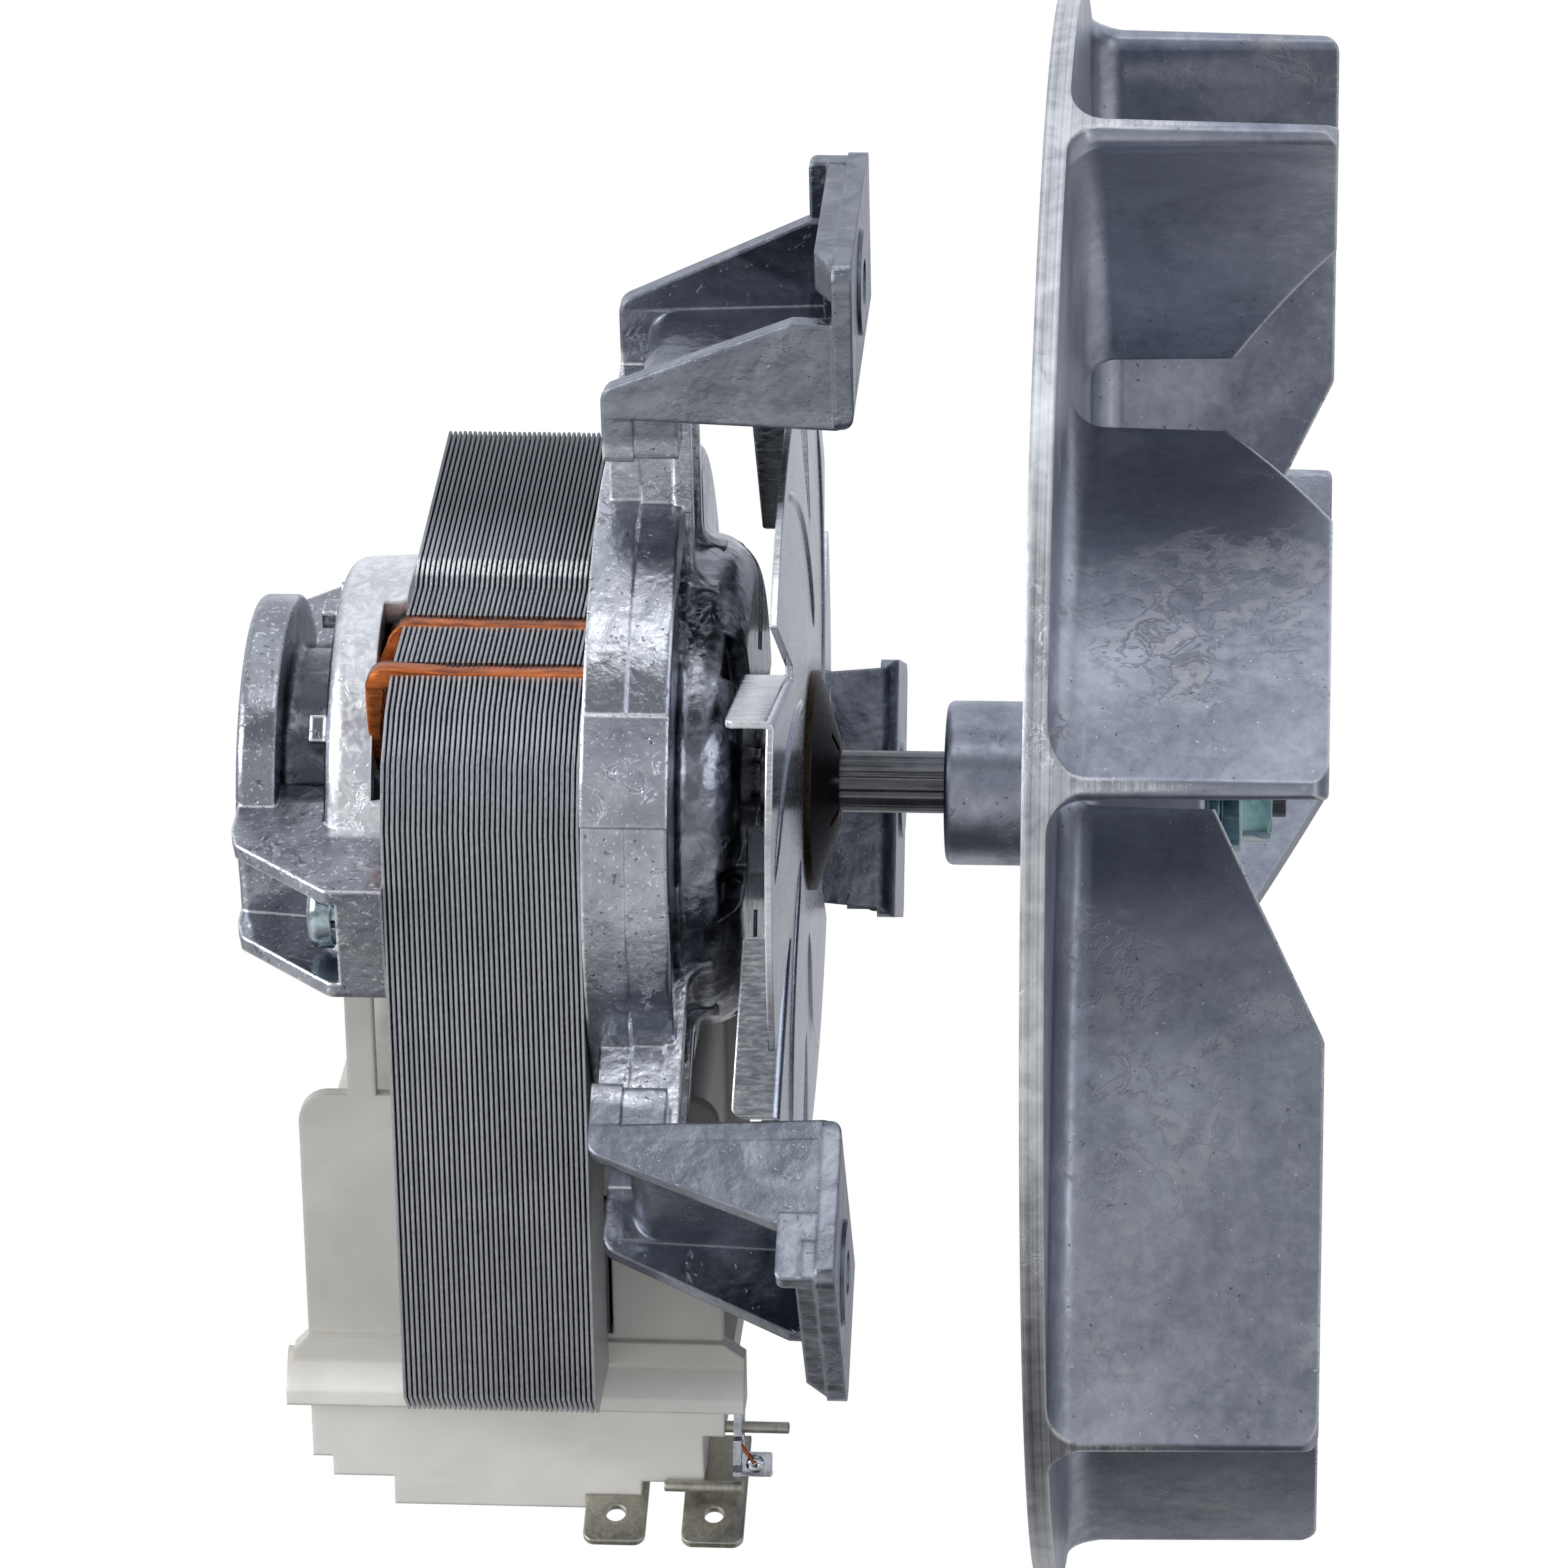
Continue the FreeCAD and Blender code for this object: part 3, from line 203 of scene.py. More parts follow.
def buildFloor(size):
    half = size["floorSize"] / 2
    height = cadBox[0].z - size["floorDrop"]
    corners = [(-half, -half, height), (half, -half, height), (half, half, height), (-half, half, height)]
    mesh = bpy.data.meshes.new("studioFloor")
    mesh.from_pydata(corners, [], [(0, 1, 2, 3)])
    floor = bpy.data.objects.new("studioFloor", mesh)
    scene.collection.objects.link(floor)
    paint = bpy.data.materials.new("whitePaperFloor")
    paint.use_nodes = True
    tree = paint.node_tree
    tree.nodes.clear()
    # painted shade: reflections find the paper darker straight below the part
    place = addNode(tree, "TexCoord").outputs["Object"]
    away = addNode(tree, "VectorMath", {0: place, 1: (0.0, 0.0, height)}, operation="DISTANCE")
    share = addNode(tree, "MapRange", {0: away, 1: size["shadeFrom"], 2: size["shadeTo"]})
    tone = addNode(tree, "Mix", {0: share, 6: linear(size["paperBelow"]), 7: linear(size["paperAway"])},
                   data_type="RGBA")
    dull = addNode(tree, "BsdfDiffuse", {0: tone})
    matt = addNode(tree, "BsdfDiffuse", {0: linear(size["paper"])})
    glow = addNode(tree, "Emission", {0: white, 1: size["paperGlow"]})
    lit = addNode(tree, "AddShader", {0: matt, 1: glow})
    rays = addNode(tree, "LightPath").outputs
    mixed = addNode(tree, "MixShader", {0: rays["Is Camera Ray"], 1: dull, 2: lit})
    addNode(tree, "OutputMaterial", {0: mixed})
    mesh.materials.append(paint)


def addLamp(name, at, towards, size, watts, colour="#ffffff"):
    data = bpy.data.lights.new(name, "AREA")
    data.shape = "RECTANGLE"
    data.size, data.size_y = size
    data.energy = watts
    data.color = linear(colour)[:3]
    lamp = bpy.data.objects.new(name, data)
    scene.collection.objects.link(lamp)
    lamp.location = at
    lamp.rotation_euler = (Vector(towards) - Vector(at)).to_track_quat("-Z", "Y").to_euler()


buildWorld(studio)
buildFloor(studio)
addLamp("panelLeft", (-0.88, -0.52, 0.24), (-0.03, 0, 0.01), (0.80, 0.60), 6.4, "#fafbff")
addLamp("panelTop", (0.14, -0.66, 0.78), (0, 0, 0), (0.7, 0.30), 0.9)
addLamp("panelRight", (0.80, -0.62, 0.05), (0.02, 0, 0), (0.10, 0.9), 0.6, "#f4f7ff")
scene.view_settings.view_transform = "Standard"
print("studio lit")


# finishes; a noise pattern's values mostly lie between these levels, and closer once two are mixed
plainLow, plainHigh = 0.35, 0.65
mixedLow, mixedHigh = 0.36, 0.64


def newFinish(name):
    # a bare material, its node tree, and the place on the piece that its patterns read
    finish = bpy.data.materials.new(name)
    finish.use_nodes = True
    tree = finish.node_tree
    tree.nodes.clear()
    return finish, tree, addNode(tree, "TexCoord").outputs["Object"]


def closeFinish(tree, colour, roughness, normal, metallic, **plain):
    links = {"Base Color": colour, "Roughness": roughness, "Metallic": metallic, "Normal": normal}
    links.update(plain)
    shader = addNode(tree, "BsdfPrincipled", links)
    addNode(tree, "OutputMaterial", {0: shader})


def weighted(tree, layers):
    # the sum of some layers, each times its weight
    total = 0.0
    for layer, weight in layers:
        total = addNode(tree, "Math", {0: layer, 1: weight, 2: total}, operation="MULTIPLY_ADD")
    return total


def toned(tree, pattern, low, high, look):
    # a pattern's low level takes a finish's darkest colour, and its high level the lightest
    share = addNode(tree, "MapRange", {0: pattern, 1: low, 2: high})
    return addNode(tree, "Mix", {0: share, 6: linear(look["dark"]), 7: linear(look["light"])},
                   data_type="RGBA")


def cornerMask(tree, radius):
    # the normal eased over corners, and 1 on corners within the radius in millimetres, 0 on open faces
    eased = addNode(tree, "Bevel", {0: radius * mm}, samples=6)
    flat = addNode(tree, "NewGeometry").outputs["Normal"]
    agree = addNode(tree, "VectorMath", {0: eased, 1: flat}, operation="DOT_PRODUCT")
    return addNode(tree, "MapRange", {0: agree, 1: 0.995, 2: 0.86}), eased


def shaftReach(tree, place):
    # distance from the shaft, and the place along it
    axes = addNode(tree, "SeparateXYZ", {0: place}).outputs
    flat = addNode(tree, "CombineXYZ", {"X": axes["Y"], "Y": axes["Z"]})
    return addNode(tree, "VectorMath", {0: flat}, operation="LENGTH"), axes["X"]


def window(tree, value, low, high, ease):
    # 1 between two places, 0 outside them, all in millimetres
    enter = addNode(tree, "MapRange", {0: value, 1: low * mm, 2: (low + ease) * mm})
    leave = addNode(tree, "MapRange", {0: value, 1: high * mm, 2: (high - ease) * mm})
    return addNode(tree, "Math", {0: enter, 1: leave}, operation="MULTIPLY")


def paintedToneZone(tree, place, colour, roughness, zone):
    # a part of a casting, between two radii and two stations along the shaft, with its own smoothness and its
    # own painted tone, which stands for the light and shade there
    reach, along = shaftReach(tree, place)
    ring = window(tree, reach, zone["inner"], zone["outer"], 0.8)
    span = window(tree, along, zone["rearX"], zone["frontX"], 0.8)
    share = addNode(tree, "Math", {0: ring, 1: span}, operation="MULTIPLY")
    scuffs = patches(tree, cloudy(place, zone["scuffSize"], 6.0, 1.0), 0.44, 0.62)
    skin = addNode(tree, "Mix", {0: scuffs, 6: linear(zone["dark"]), 7: linear(zone["light"])},
                   data_type="RGBA")
    smooth = addNode(tree, "MapRange", {0: scuffs, 3: zone["roughness"], 4: zone["roughness"] + 0.08})
    return (addNode(tree, "Mix", {0: share, 6: colour, 7: skin}, data_type="RGBA"),
            addNode(tree, "Mix", {0: share, 2: roughness, 3: smooth}))


def turnedBand(tree, place, colour, roughness, band):
    # bright lathe-turned metal outside a radius about the shaft, its lines running round; real ones are
    # a tenth of a millimetre apart, too fine to show, so these are coarser
    reach, along = shaftReach(tree, place)
    rings = addNode(tree, "CombineXYZ", {"X": along, "Y": reach})
    lines = addNode(tree, "TexNoise", cloudy(rings.outputs[0], 0.35, 3.0, 0.0, 0.7))
    breakup = addNode(tree, "TexNoise", cloudy(place, 2.5, 4.0, 0.4))
    share = addNode(tree, "MapRange", {0: reach, 1: band["from"] * mm, 2: (band["from"] + 0.15) * mm})
    turned = toned(tree, weighted(tree, ((lines, 0.6), (breakup, 0.4))), 0.38, 0.6, band)
    smooth = addNode(tree, "MapRange", {0: lines, 1: plainLow, 2: plainHigh, 3: band["roughness"] - 0.05,
                                        4: band["roughness"] + 0.08})
    return (addNode(tree, "Mix", {0: share, 6: colour, 7: turned}, data_type="RGBA"),
            addNode(tree, "Mix", {0: share, 2: roughness, 3: smooth}))


def crustRegion(tree, place, look):
    # where a casting is crusted: here and there, and at its named spots, given as a place and a radius
    region = patches(tree, cloudy(place, look["cloudSize"] * 1.2, 4.0, 1.6), 0.57, 0.66)
    for *centre, radius in look.get("spots", []):
        spot = tuple(c * mm for c in centre)
        away = addNode(tree, "VectorMath", {0: place, 1: spot}, operation="DISTANCE")
        near = addNode(tree, "MapRange", {0: away, 1: radius * mm, 2: radius * 0.5 * mm})
        torn = patches(tree, cloudy(place, radius * 0.5, 5.0, 0.8), 0.40, 0.64)
        ragged = addNode(tree, "Math", {0: near, 1: torn}, operation="MULTIPLY")
        region = addNode(tree, "Math", {0: region, 1: ragged}, operation="MAXIMUM")
    return region


def castFinish(name, look):
    # die-cast aluminium: fine sandy skin, faint clouds, crusty flow marks, pits, edges bright partly from
    # rubbing and partly as a painted highlight, and scattered painted glints; its grain and pits are drawn as
    # coarse as they need to show
    finish, tree, place = newFinish(name)
    broad = addNode(tree, "TexNoise", cloudy(place, look["cloudSize"], 3.0, 0.5))
    skin = addNode(tree, "TexNoise", cloudy(place, 1.6, 6.0, 0.3, 0.72))
    grain = addNode(tree, "TexNoise", cloudy(place, look["grain"], 2.0))
    tone = weighted(tree, ((broad, 0.65), (skin, 0.35)))
    colour = toned(tree, tone, mixedLow, mixedHigh, look)

    # flow marks: pale folds with dark creases along them
    region = crustRegion(tree, place, look)
    folds = addNode(tree, "TexNoise", cloudy(place, look["crustSize"], 8.0, look["crustTwist"], 0.62))
    folds = addNode(tree, "Math", {0: folds, 1: 0.5}, operation="SUBTRACT")
    pale = addNode(tree, "MapRange", {0: folds, 1: look["crustFrom"], 2: 0.14})
    crust = addNode(tree, "Math", {0: region, 1: pale}, operation="MULTIPLY")
    depth = addNode(tree, "Math", {0: folds}, operation="ABSOLUTE")
    creases = addNode(tree, "MapRange", {0: depth, 1: 0.035, 2: 0.004})
    lines = addNode(tree, "Math", {0: region, 1: creases}, operation="MULTIPLY")

    pits = patches(tree, cloudy(place, look["pitSize"], 1.0), look["pits"], look["pits"] - 0.04)
    # sparks are painted glints; the edges are lightened partly as wear and partly as a painted highlight
    sparks = patches(tree, cloudy(place, look["pitSize"] * 0.7, 1.0), look["sparks"], look["sparks"] + 0.04)
    corners, eased = cornerMask(tree, look["edgeWidth"])
    glintMask = addNode(tree, "MapRange", {0: grain, 1: 0.30, 2: 0.42})
    edges = addNode(tree, "Math", {0: corners, 1: glintMask}, operation="MULTIPLY")
    edges = addNode(tree, "Math", {0: edges, 1: look["edgeShare"]}, operation="MULTIPLY")
    sparks = addNode(tree, "Math", {0: sparks, 1: 0.5}, operation="MULTIPLY")
    bright = addNode(tree, "Math", {0: edges, 1: sparks}, operation="MAXIMUM")
    for layer, share, hexCode in ((crust, look["crustShare"], look["crustColour"]),
                                  (lines, look["lineShare"], look["pitColour"]),
                                  (pits, 0.55, look["pitColour"]), (bright, 1.0, look["edgeColour"])):
        part = addNode(tree, "Math", {0: layer, 1: share}, operation="MULTIPLY")
        colour = addNode(tree, "Mix", {0: part, 6: colour, 7: linear(hexCode)}, data_type="RGBA")

    smooth = addNode(tree, "MapRange", {0: tone, 1: 0.38, 2: 0.62, 3: look["roughness"] + 0.05,
                                        4: look["roughness"] - 0.05})
    roughness = weighted(tree, ((smooth, 1.0), (crust, 0.14), (bright, -0.10)))
    if "turned" in look:
        colour, roughness = turnedBand(tree, place, colour, roughness, look["turned"])
    for zone in look.get("zones", []):
        colour, roughness = paintedToneZone(tree, place, colour, roughness, zone)
    swell = addNode(tree, "TexNoise", cloudy(place, look["swellSize"], 2.0, 0.3))
    relief = weighted(tree, ((grain, look["grainDepth"]), (pits, -0.5), (lines, -0.6),
                             (skin, look["skinDepth"]), (swell, look["swell"])))
    bump = addNode(tree, "Bump", {"Strength": look["bump"], "Distance": 0.12 * mm, "Height": relief,
                                  "Normal": eased})
    closeFinish(tree, colour, roughness, bump, 1.0)
    return finish


# bright and lively, with a smoother skin on the dome and the arms, both painted darker as shade
bracketCast = castFinish("castAluminiumBracket", {
    "cloudSize": 9.0, "grain": 0.35, "pitSize": 0.7, "dark": "#a2a7b0", "light": "#d2d5dc",
    "pitColour": "#3c3f46", "crustSize": 3.0, "crustShare": 0.4, "crustColour": "#dcdfe4", "crustTwist": 1.4,
    "crustFrom": 0.0, "lineShare": 0.55, "pits": 0.31, "edgeWidth": 0.55, "edgeShare": 1.0,
    "edgeColour": "#ffffff", "roughness": 0.19, "grainDepth": 0.24, "skinDepth": 0.8, "swellSize": 3.6,
    "swell": 3.4, "bump": 0.55, "sparks": 0.64,
    # the dome is painted darker as shade, and is smoother
    "zones": [{"inner": -1.0, "outer": 27.0, "rearX": -21.0, "frontX": 0.0,  # dome over the bearing
               "dark": "#7c7f87", "light": "#9fa2a9", "roughness": 0.13, "scuffSize": 2.0},
              # the arms are painted darker as shade
              {"inner": 43.5, "outer": 90.0, "rearX": -30.0, "frontX": 5.0,  # arms
               "dark": "#848993", "light": "#a0a5ae", "roughness": 0.2, "scuffSize": 9.0}]})
# greyer, with the cup painted pale as a highlight and the neck painted dark as shade
rearCast = castFinish("castAluminiumRear", {
    "cloudSize": 9.0, "grain": 0.35, "pitSize": 0.7, "dark": "#8b8f98", "light": "#b7bac1",
    "pitColour": "#4a4d54", "crustSize": 3.0, "crustShare": 0.5, "crustColour": "#f0f1f3", "crustTwist": 1.4,
    "crustFrom": 0.0, "lineShare": 0.55, "pits": 0.31, "edgeWidth": 0.55, "edgeShare": 1.0,
    "edgeColour": "#ffffff", "roughness": 0.23, "grainDepth": 0.22, "skinDepth": 0.6, "swellSize": 3.4,
    "swell": 3.0, "bump": 0.5, "sparks": 0.63,
    # the cup is painted near white as a highlight
    "zones": [{"inner": -1.0, "outer": 23.5, "rearX": -52.3, "frontX": -43.0,  # cup
               "dark": "#dfe1e5", "light": "#fbfbfc", "roughness": 0.3, "scuffSize": 1.2},
              # the neck is painted dark as shade
              {"inner": -1.0, "outer": 17.2, "rearX": -58.5, "frontX": -52.0,  # neck of the bearing hub
               "dark": "#585b61", "light": "#7d8087", "roughness": 0.2, "scuffSize": 3.0}]})
# satin and bluish, in broad clouds, with stained blades and a bright turned rim
wheelCast = castFinish("castAluminiumImpeller", {
    "cloudSize": 22.0, "grain": 0.5, "pitSize": 0.7, "dark": "#828796", "light": "#bcc1cd",
    "pitColour": "#3a3d45", "crustSize": 2.6, "crustShare": 0.4, "crustColour": "#d4d3cf", "crustTwist": 0.6,
    "crustFrom": -0.10, "lineShare": 0.22, "pits": 0.26, "edgeWidth": 0.55, "edgeShare": 0.9,
    "edgeColour": "#f8fafc", "roughness": 0.33, "grainDepth": 0.12, "skinDepth": 0.3, "swellSize": 9.0,
    "swell": 3.0, "bump": 0.4, "sparks": 0.75,
    "spots": [(33.0, -62.0, 12.0, 14.0), (28.0, -51.0, -35.0, 13.0), (25.0, -50.0, -18.0, 8.0),
              (26.0, -48.0, -50.0, 9.0)],
    "turned": {"from": 78.7, "dark": "#a9acb2", "light": "#e9ebee", "roughness": 0.36}})


def metalFinish(name, look):
    # rolled, turned or plated metal with small scratches, and a grain coarse enough to show
    finish, tree, place = newFinish(name)
    drawn = addNode(tree, "Mapping", {"Vector": place, "Scale": look["stretch"]})
    streaks = addNode(tree, "TexNoise", cloudy(drawn, look["grain"]))
    stains = addNode(tree, "TexNoise", cloudy(place, look["stainSize"], 4.0, 0.8))
    share = weighted(tree, ((streaks, 0.6), (stains, 0.4)))
    colour = toned(tree, share, mixedLow, mixedHigh, look)
    if "scratches" in look:
        along = addNode(tree, "Mapping", {"Vector": place, "Scale": (0.12, 1.0, 1.0)})
        marks = patches(tree, cloudy(along, 0.5, 3.0), 0.60, 0.66)
        where = patches(tree, cloudy(place, 4.0, 3.0), 0.42, 0.60)
        marks = addNode(tree, "Math", {0: marks, 1: where}, operation="MULTIPLY")
        marks = addNode(tree, "Math", {0: marks, 1: look["scratches"]}, operation="MULTIPLY")
        colour = addNode(tree, "Mix", {0: marks, 6: colour, 7: white}, data_type="RGBA")
    # corners take the edge colour: a lighter one on most metals, which is a painted highlight, and a darker
    # one on the copper
    corners, eased = cornerMask(tree, look["edgeWidth"])
    edges = addNode(tree, "Math", {0: corners, 1: look["edgeShare"]}, operation="MULTIPLY")
    colour = addNode(tree, "Mix", {0: edges, 6: colour, 7: linear(look["edgeColour"])}, data_type="RGBA")
    roughness = addNode(tree, "MapRange", {0: streaks, 1: plainLow, 2: plainHigh,
                                           3: look["roughness"] - 0.05, 4: look["roughness"] + 0.08})
    bump = addNode(tree, "Bump", {"Strength": look["bump"], "Distance": 0.05 * mm, "Height": share,
                                  "Normal": eased})
    closeFinish(tree, colour, roughness, bump, 1.0)
    return finish


evenGrain = (1.0, 1.0, 1.0)
alongShaft = (0.06, 1.0, 1.0)
# near mirror with white scratches
sheetBright = metalFinish("rolledAluminiumSheet", {
    "stretch": (0.3, 1.0, 1.0), "grain": 0.35, "stainSize": 5.0, "dark": "#c2c5cb", "light": "#eceef1",
    "edgeWidth": 0.3, "edgeShare": 1.0, "edgeColour": "#ffffff", "roughness": 0.2, "bump": 0.2,
    "scratches": 0.9})
# dark sheen, drawn out along the shaft
shaftSteel = metalFinish("groundShaftSteel", {
    "stretch": alongShaft, "grain": 0.4, "stainSize": 6.0, "dark": "#4b4c50", "light": "#7c7d82",
    "edgeWidth": 0.25, "edgeShare": 0.4, "edgeColour": "#c8cacd", "roughness": 0.28, "bump": 0.4})
# brownish black, hardly shining
springSteel = metalFinish("phosphatedSpringSteel", {
    "stretch": evenGrain, "grain": 0.5, "stainSize": 4.0, "dark": "#221c17", "light": "#453a30",
    "edgeWidth": 0.3, "edgeShare": 0.5, "edgeColour": "#7a6a58", "roughness": 0.42, "bump": 0.3})
# pale, cool and glossy
zincSteel = metalFinish("zincPlatedSteel", {
    "stretch": evenGrain, "grain": 0.6, "stainSize": 4.0, "dark": "#93a6ae", "light": "#c9d8dc",
    "edgeWidth": 0.25, "edgeShare": 0.6, "edgeColour": "#f4fafb", "roughness": 0.14, "bump": 0.15})
# blue-green under a clear gloss
nutZinc = metalFinish("greenZincPlate", {
    "stretch": evenGrain, "grain": 2.0, "stainSize": 9.0, "dark": "#4b6f74", "light": "#8fb4b8",
    "edgeWidth": 0.3, "edgeShare": 0.9, "edgeColour": "#eefafa", "roughness": 0.12, "bump": 0.1})
# warm silver grey, satin
tinnedBrass = metalFinish("tinnedBrass", {
    "stretch": (1.0, 1.0, 0.2), "grain": 0.4, "stainSize": 3.5, "dark": "#aaa79b", "light": "#cfccbf",
    "edgeWidth": 0.25, "edgeShare": 0.5, "edgeColour": "#efede4", "roughness": 0.42, "bump": 0.25})
# bright, rounded and lumpy
solder = metalFinish("tinSolder", {
    "stretch": evenGrain, "grain": 1.2, "stainSize": 2.0, "dark": "#b9bcc2", "light": "#eff1f4",
    "edgeWidth": 0.1, "edgeShare": 0.3, "edgeColour": "#ffffff", "roughness": 0.12, "bump": 0.8})
# orange to brown under gloss, dark at its edges
shadeCopper = metalFinish("lacqueredCopper", {
    "stretch": (0.25, 1.0, 1.0), "grain": 0.9, "stainSize": 4.5, "dark": "#5f2410", "light": "#e8854a",
    "edgeWidth": 0.3, "edgeShare": 0.6, "edgeColour": "#3d1a0e", "roughness": 0.28, "bump": 0.5})
# dull brown gold
bronze = metalFinish("sinteredBronze", {
    "stretch": evenGrain, "grain": 0.3, "stainSize": 3.0, "dark": "#7c5f35", "light": "#a88a55",
    "edgeWidth": 0.25, "edgeShare": 0.3, "edgeColour": "#c8ab74", "roughness": 0.45, "bump": 0.3})
# dull blue grey, in fine rings
rotorSteel = metalFinish("blackenedRotorSteel", {
    "stretch": (6.0, 1.0, 1.0), "grain": 1.0, "stainSize": 6.0, "dark": "#3c4046", "light": "#5d6168",
    "edgeWidth": 0.3, "edgeShare": 0.3, "edgeColour": "#8c9096", "roughness": 0.45, "bump": 0.3})


def sheetEdgeFinish(name, look):
    # cut edges of silicon steel sheets: each sheet its own grey, fine specks, dull burrs
    finish, tree, place = newFinish(name)
    axes = addNode(tree, "SeparateXYZ", {0: place}).outputs
    depth = addNode(tree, "Math", {0: axes["X"], 1: look["rearX"]}, operation="SUBTRACT")
    order = addNode(tree, "Math", {0: depth, 1: look["pitch"]}, operation="DIVIDE")
    sheet = addNode(tree, "Math", {0: order}, operation="FLOOR")
    tone = addNode(tree, "TexWhiteNoise", {"W": sheet}, noise_dimensions="1D")
    drawn = addNode(tree, "Mapping", {"Vector": place, "Scale": (3.0, 1.0, 1.0)})
    specks = addNode(tree, "TexNoise", cloudy(drawn, 0.5))
    stains = addNode(tree, "TexNoise", cloudy(place, 12.0, 4.0, 1.0))
    level = weighted(tree, ((tone, 0.10), (specks, 0.6), (stains, 0.3)))
    colour = toned(tree, level, 0.30, 0.75, look)

    # painted shade: the sheets are darker above the shading rings
    paintedTopShade = addNode(tree, "MapRange", {0: axes["Z"], 1: 21.5 * mm, 2: 27.0 * mm, 4: look["topShadeShare"]})
    colour = addNode(tree, "Mix", {0: paintedTopShade, 6: colour, 7: linear(look["paintedTopShade"])}, data_type="RGBA")

    # painted highlight: a bright line just under that, with single painted glints below
    breakup = addNode(tree, "MapRange", {0: specks, 1: 0.34, 2: 0.5})
    line = addNode(tree, "Math", {0: window(tree, axes["Z"], 19.4, 21.6, 0.5), 1: breakup}, operation="MULTIPLY")
    rise = addNode(tree, "MapRange", {0: axes["Z"], 1: 9.0 * mm, 2: 13.0 * mm})
    fall = addNode(tree, "MapRange", {0: axes["Z"], 1: 22.0 * mm, 2: 19.0 * mm})
    around = addNode(tree, "Math", {0: rise, 1: fall}, operation="MULTIPLY")
    glints = patches(tree, cloudy(drawn, 0.45, 2.0), 0.66, 0.72)
    glints = addNode(tree, "Math", {0: glints, 1: around}, operation="MULTIPLY")
    glintMask = addNode(tree, "Math", {0: line, 1: glints}, operation="MAXIMUM")

    # only the cut edges get the painted highlight, not the face of the end sheet
    facing = addNode(tree, "SeparateXYZ", {0: addNode(tree, "NewGeometry").outputs["Normal"]}).outputs
    endOn = addNode(tree, "Math", {0: facing["X"]}, operation="ABSOLUTE")
    cutEdge = addNode(tree, "MapRange", {0: endOn, 1: 0.95, 2: 0.85})
    glintMask = addNode(tree, "Math", {0: glintMask, 1: cutEdge}, operation="MULTIPLY")
    colour = addNode(tree, "Mix", {0: glintMask, 6: colour, 7: white}, data_type="RGBA")
    roughness = addNode(tree, "MapRange", {0: specks, 1: plainLow, 2: plainHigh, 3: 0.34, 4: 0.5})
    bump = addNode(tree, "Bump", {"Strength": 0.4, "Distance": 0.05 * mm, "Height": specks})
    closeFinish(tree, colour, roughness, bump, 1.0)
    return finish


def plasticFinish(name, look):
    # moulded plastic: faint flow clouds, stains at the edges, soft satin skin
    finish, tree, place = newFinish(name)
    broad = patches(tree, cloudy(place, look["cloudSize"], 4.0, 0.8), plainLow, plainHigh)
    fine = addNode(tree, "TexNoise", cloudy(place, look["grain"]))
    colour = addNode(tree, "Mix", {0: broad, 6: linear(look["dark"]), 7: linear(look["light"])},
                     data_type="RGBA")
    if "lower" in look:
        # the lower block is painted paler as lit, and the part near the core is left darker as painted shade
        below = look["lower"]
        height = addNode(tree, "SeparateXYZ", {0: place}).outputs["Z"]
        pale = addNode(tree, "MapRange", {0: height, 1: (below["z"] + 1.5) * mm, 2: (below["z"] - 1.5) * mm})
        litBlockTone = addNode(tree, "Mix", {0: broad, 6: linear(below["dark"]), 7: linear(below["light"])},
                        data_type="RGBA")
        colour = addNode(tree, "Mix", {0: pale, 6: colour, 7: litBlockTone}, data_type="RGBA")
    corners, eased = cornerMask(tree, look["edgeWidth"])
    stained = patches(tree, cloudy(place, 2.5), 0.45, 0.62)
    edges = addNode(tree, "Math", {0: corners, 1: stained}, operation="MULTIPLY")
    edges = addNode(tree, "Math", {0: edges, 1: look["edgeShare"]}, operation="MULTIPLY")
    colour = addNode(tree, "Mix", {0: edges, 6: colour, 7: linear(look["edgeColour"])}, data_type="RGBA")
    roughness = addNode(tree, "MapRange", {0: fine, 1: plainLow, 2: plainHigh,
                                           3: look["roughness"] - 0.04, 4: look["roughness"] + 0.06})
    bump = addNode(tree, "Bump", {"Strength": look["bump"], "Distance": 0.05 * mm, "Height": fine,
                                  "Normal": eased})
    closeFinish(tree, colour, roughness, bump, 0.0, IOR=1.5)
    return finish


# greyish ivory with a soft satin skin, its lower block painted paler as lit
formerNylon = plasticFinish("mouldedNylonIvory", {
    "cloudSize": 16.0, "grain": 0.6, "dark": "#c6c3bb", "light": "#d8d5cd", "edgeWidth": 0.5,
    "edgeShare": 0.4, "edgeColour": "#b8b692", "roughness": 0.48, "bump": 0.2,
    "lower": {"z": -60.5, "dark": "#e9e6df", "light": "#f7f5ef"}})
# dark brown, satin
washerNylon = plasticFinish("washerPlastic", {
    "cloudSize": 6.0, "grain": 0.5, "dark": "#4a4238", "light": "#5e5548", "edgeWidth": 0.3,
    "edgeShare": 0.3, "edgeColour": "#8a8072", "roughness": 0.5, "bump": 0.2})
# brown and quite matt
oilFelt = plasticFinish("oiledFelt", {
    "cloudSize": 3.0, "grain": 0.25, "dark": "#6b5f4c", "light": "#93866e", "edgeWidth": 0.3,
    "edgeShare": 0.3, "edgeColour": "#a39880", "roughness": 0.9, "bump": 1.0})
print("finishes mixed")


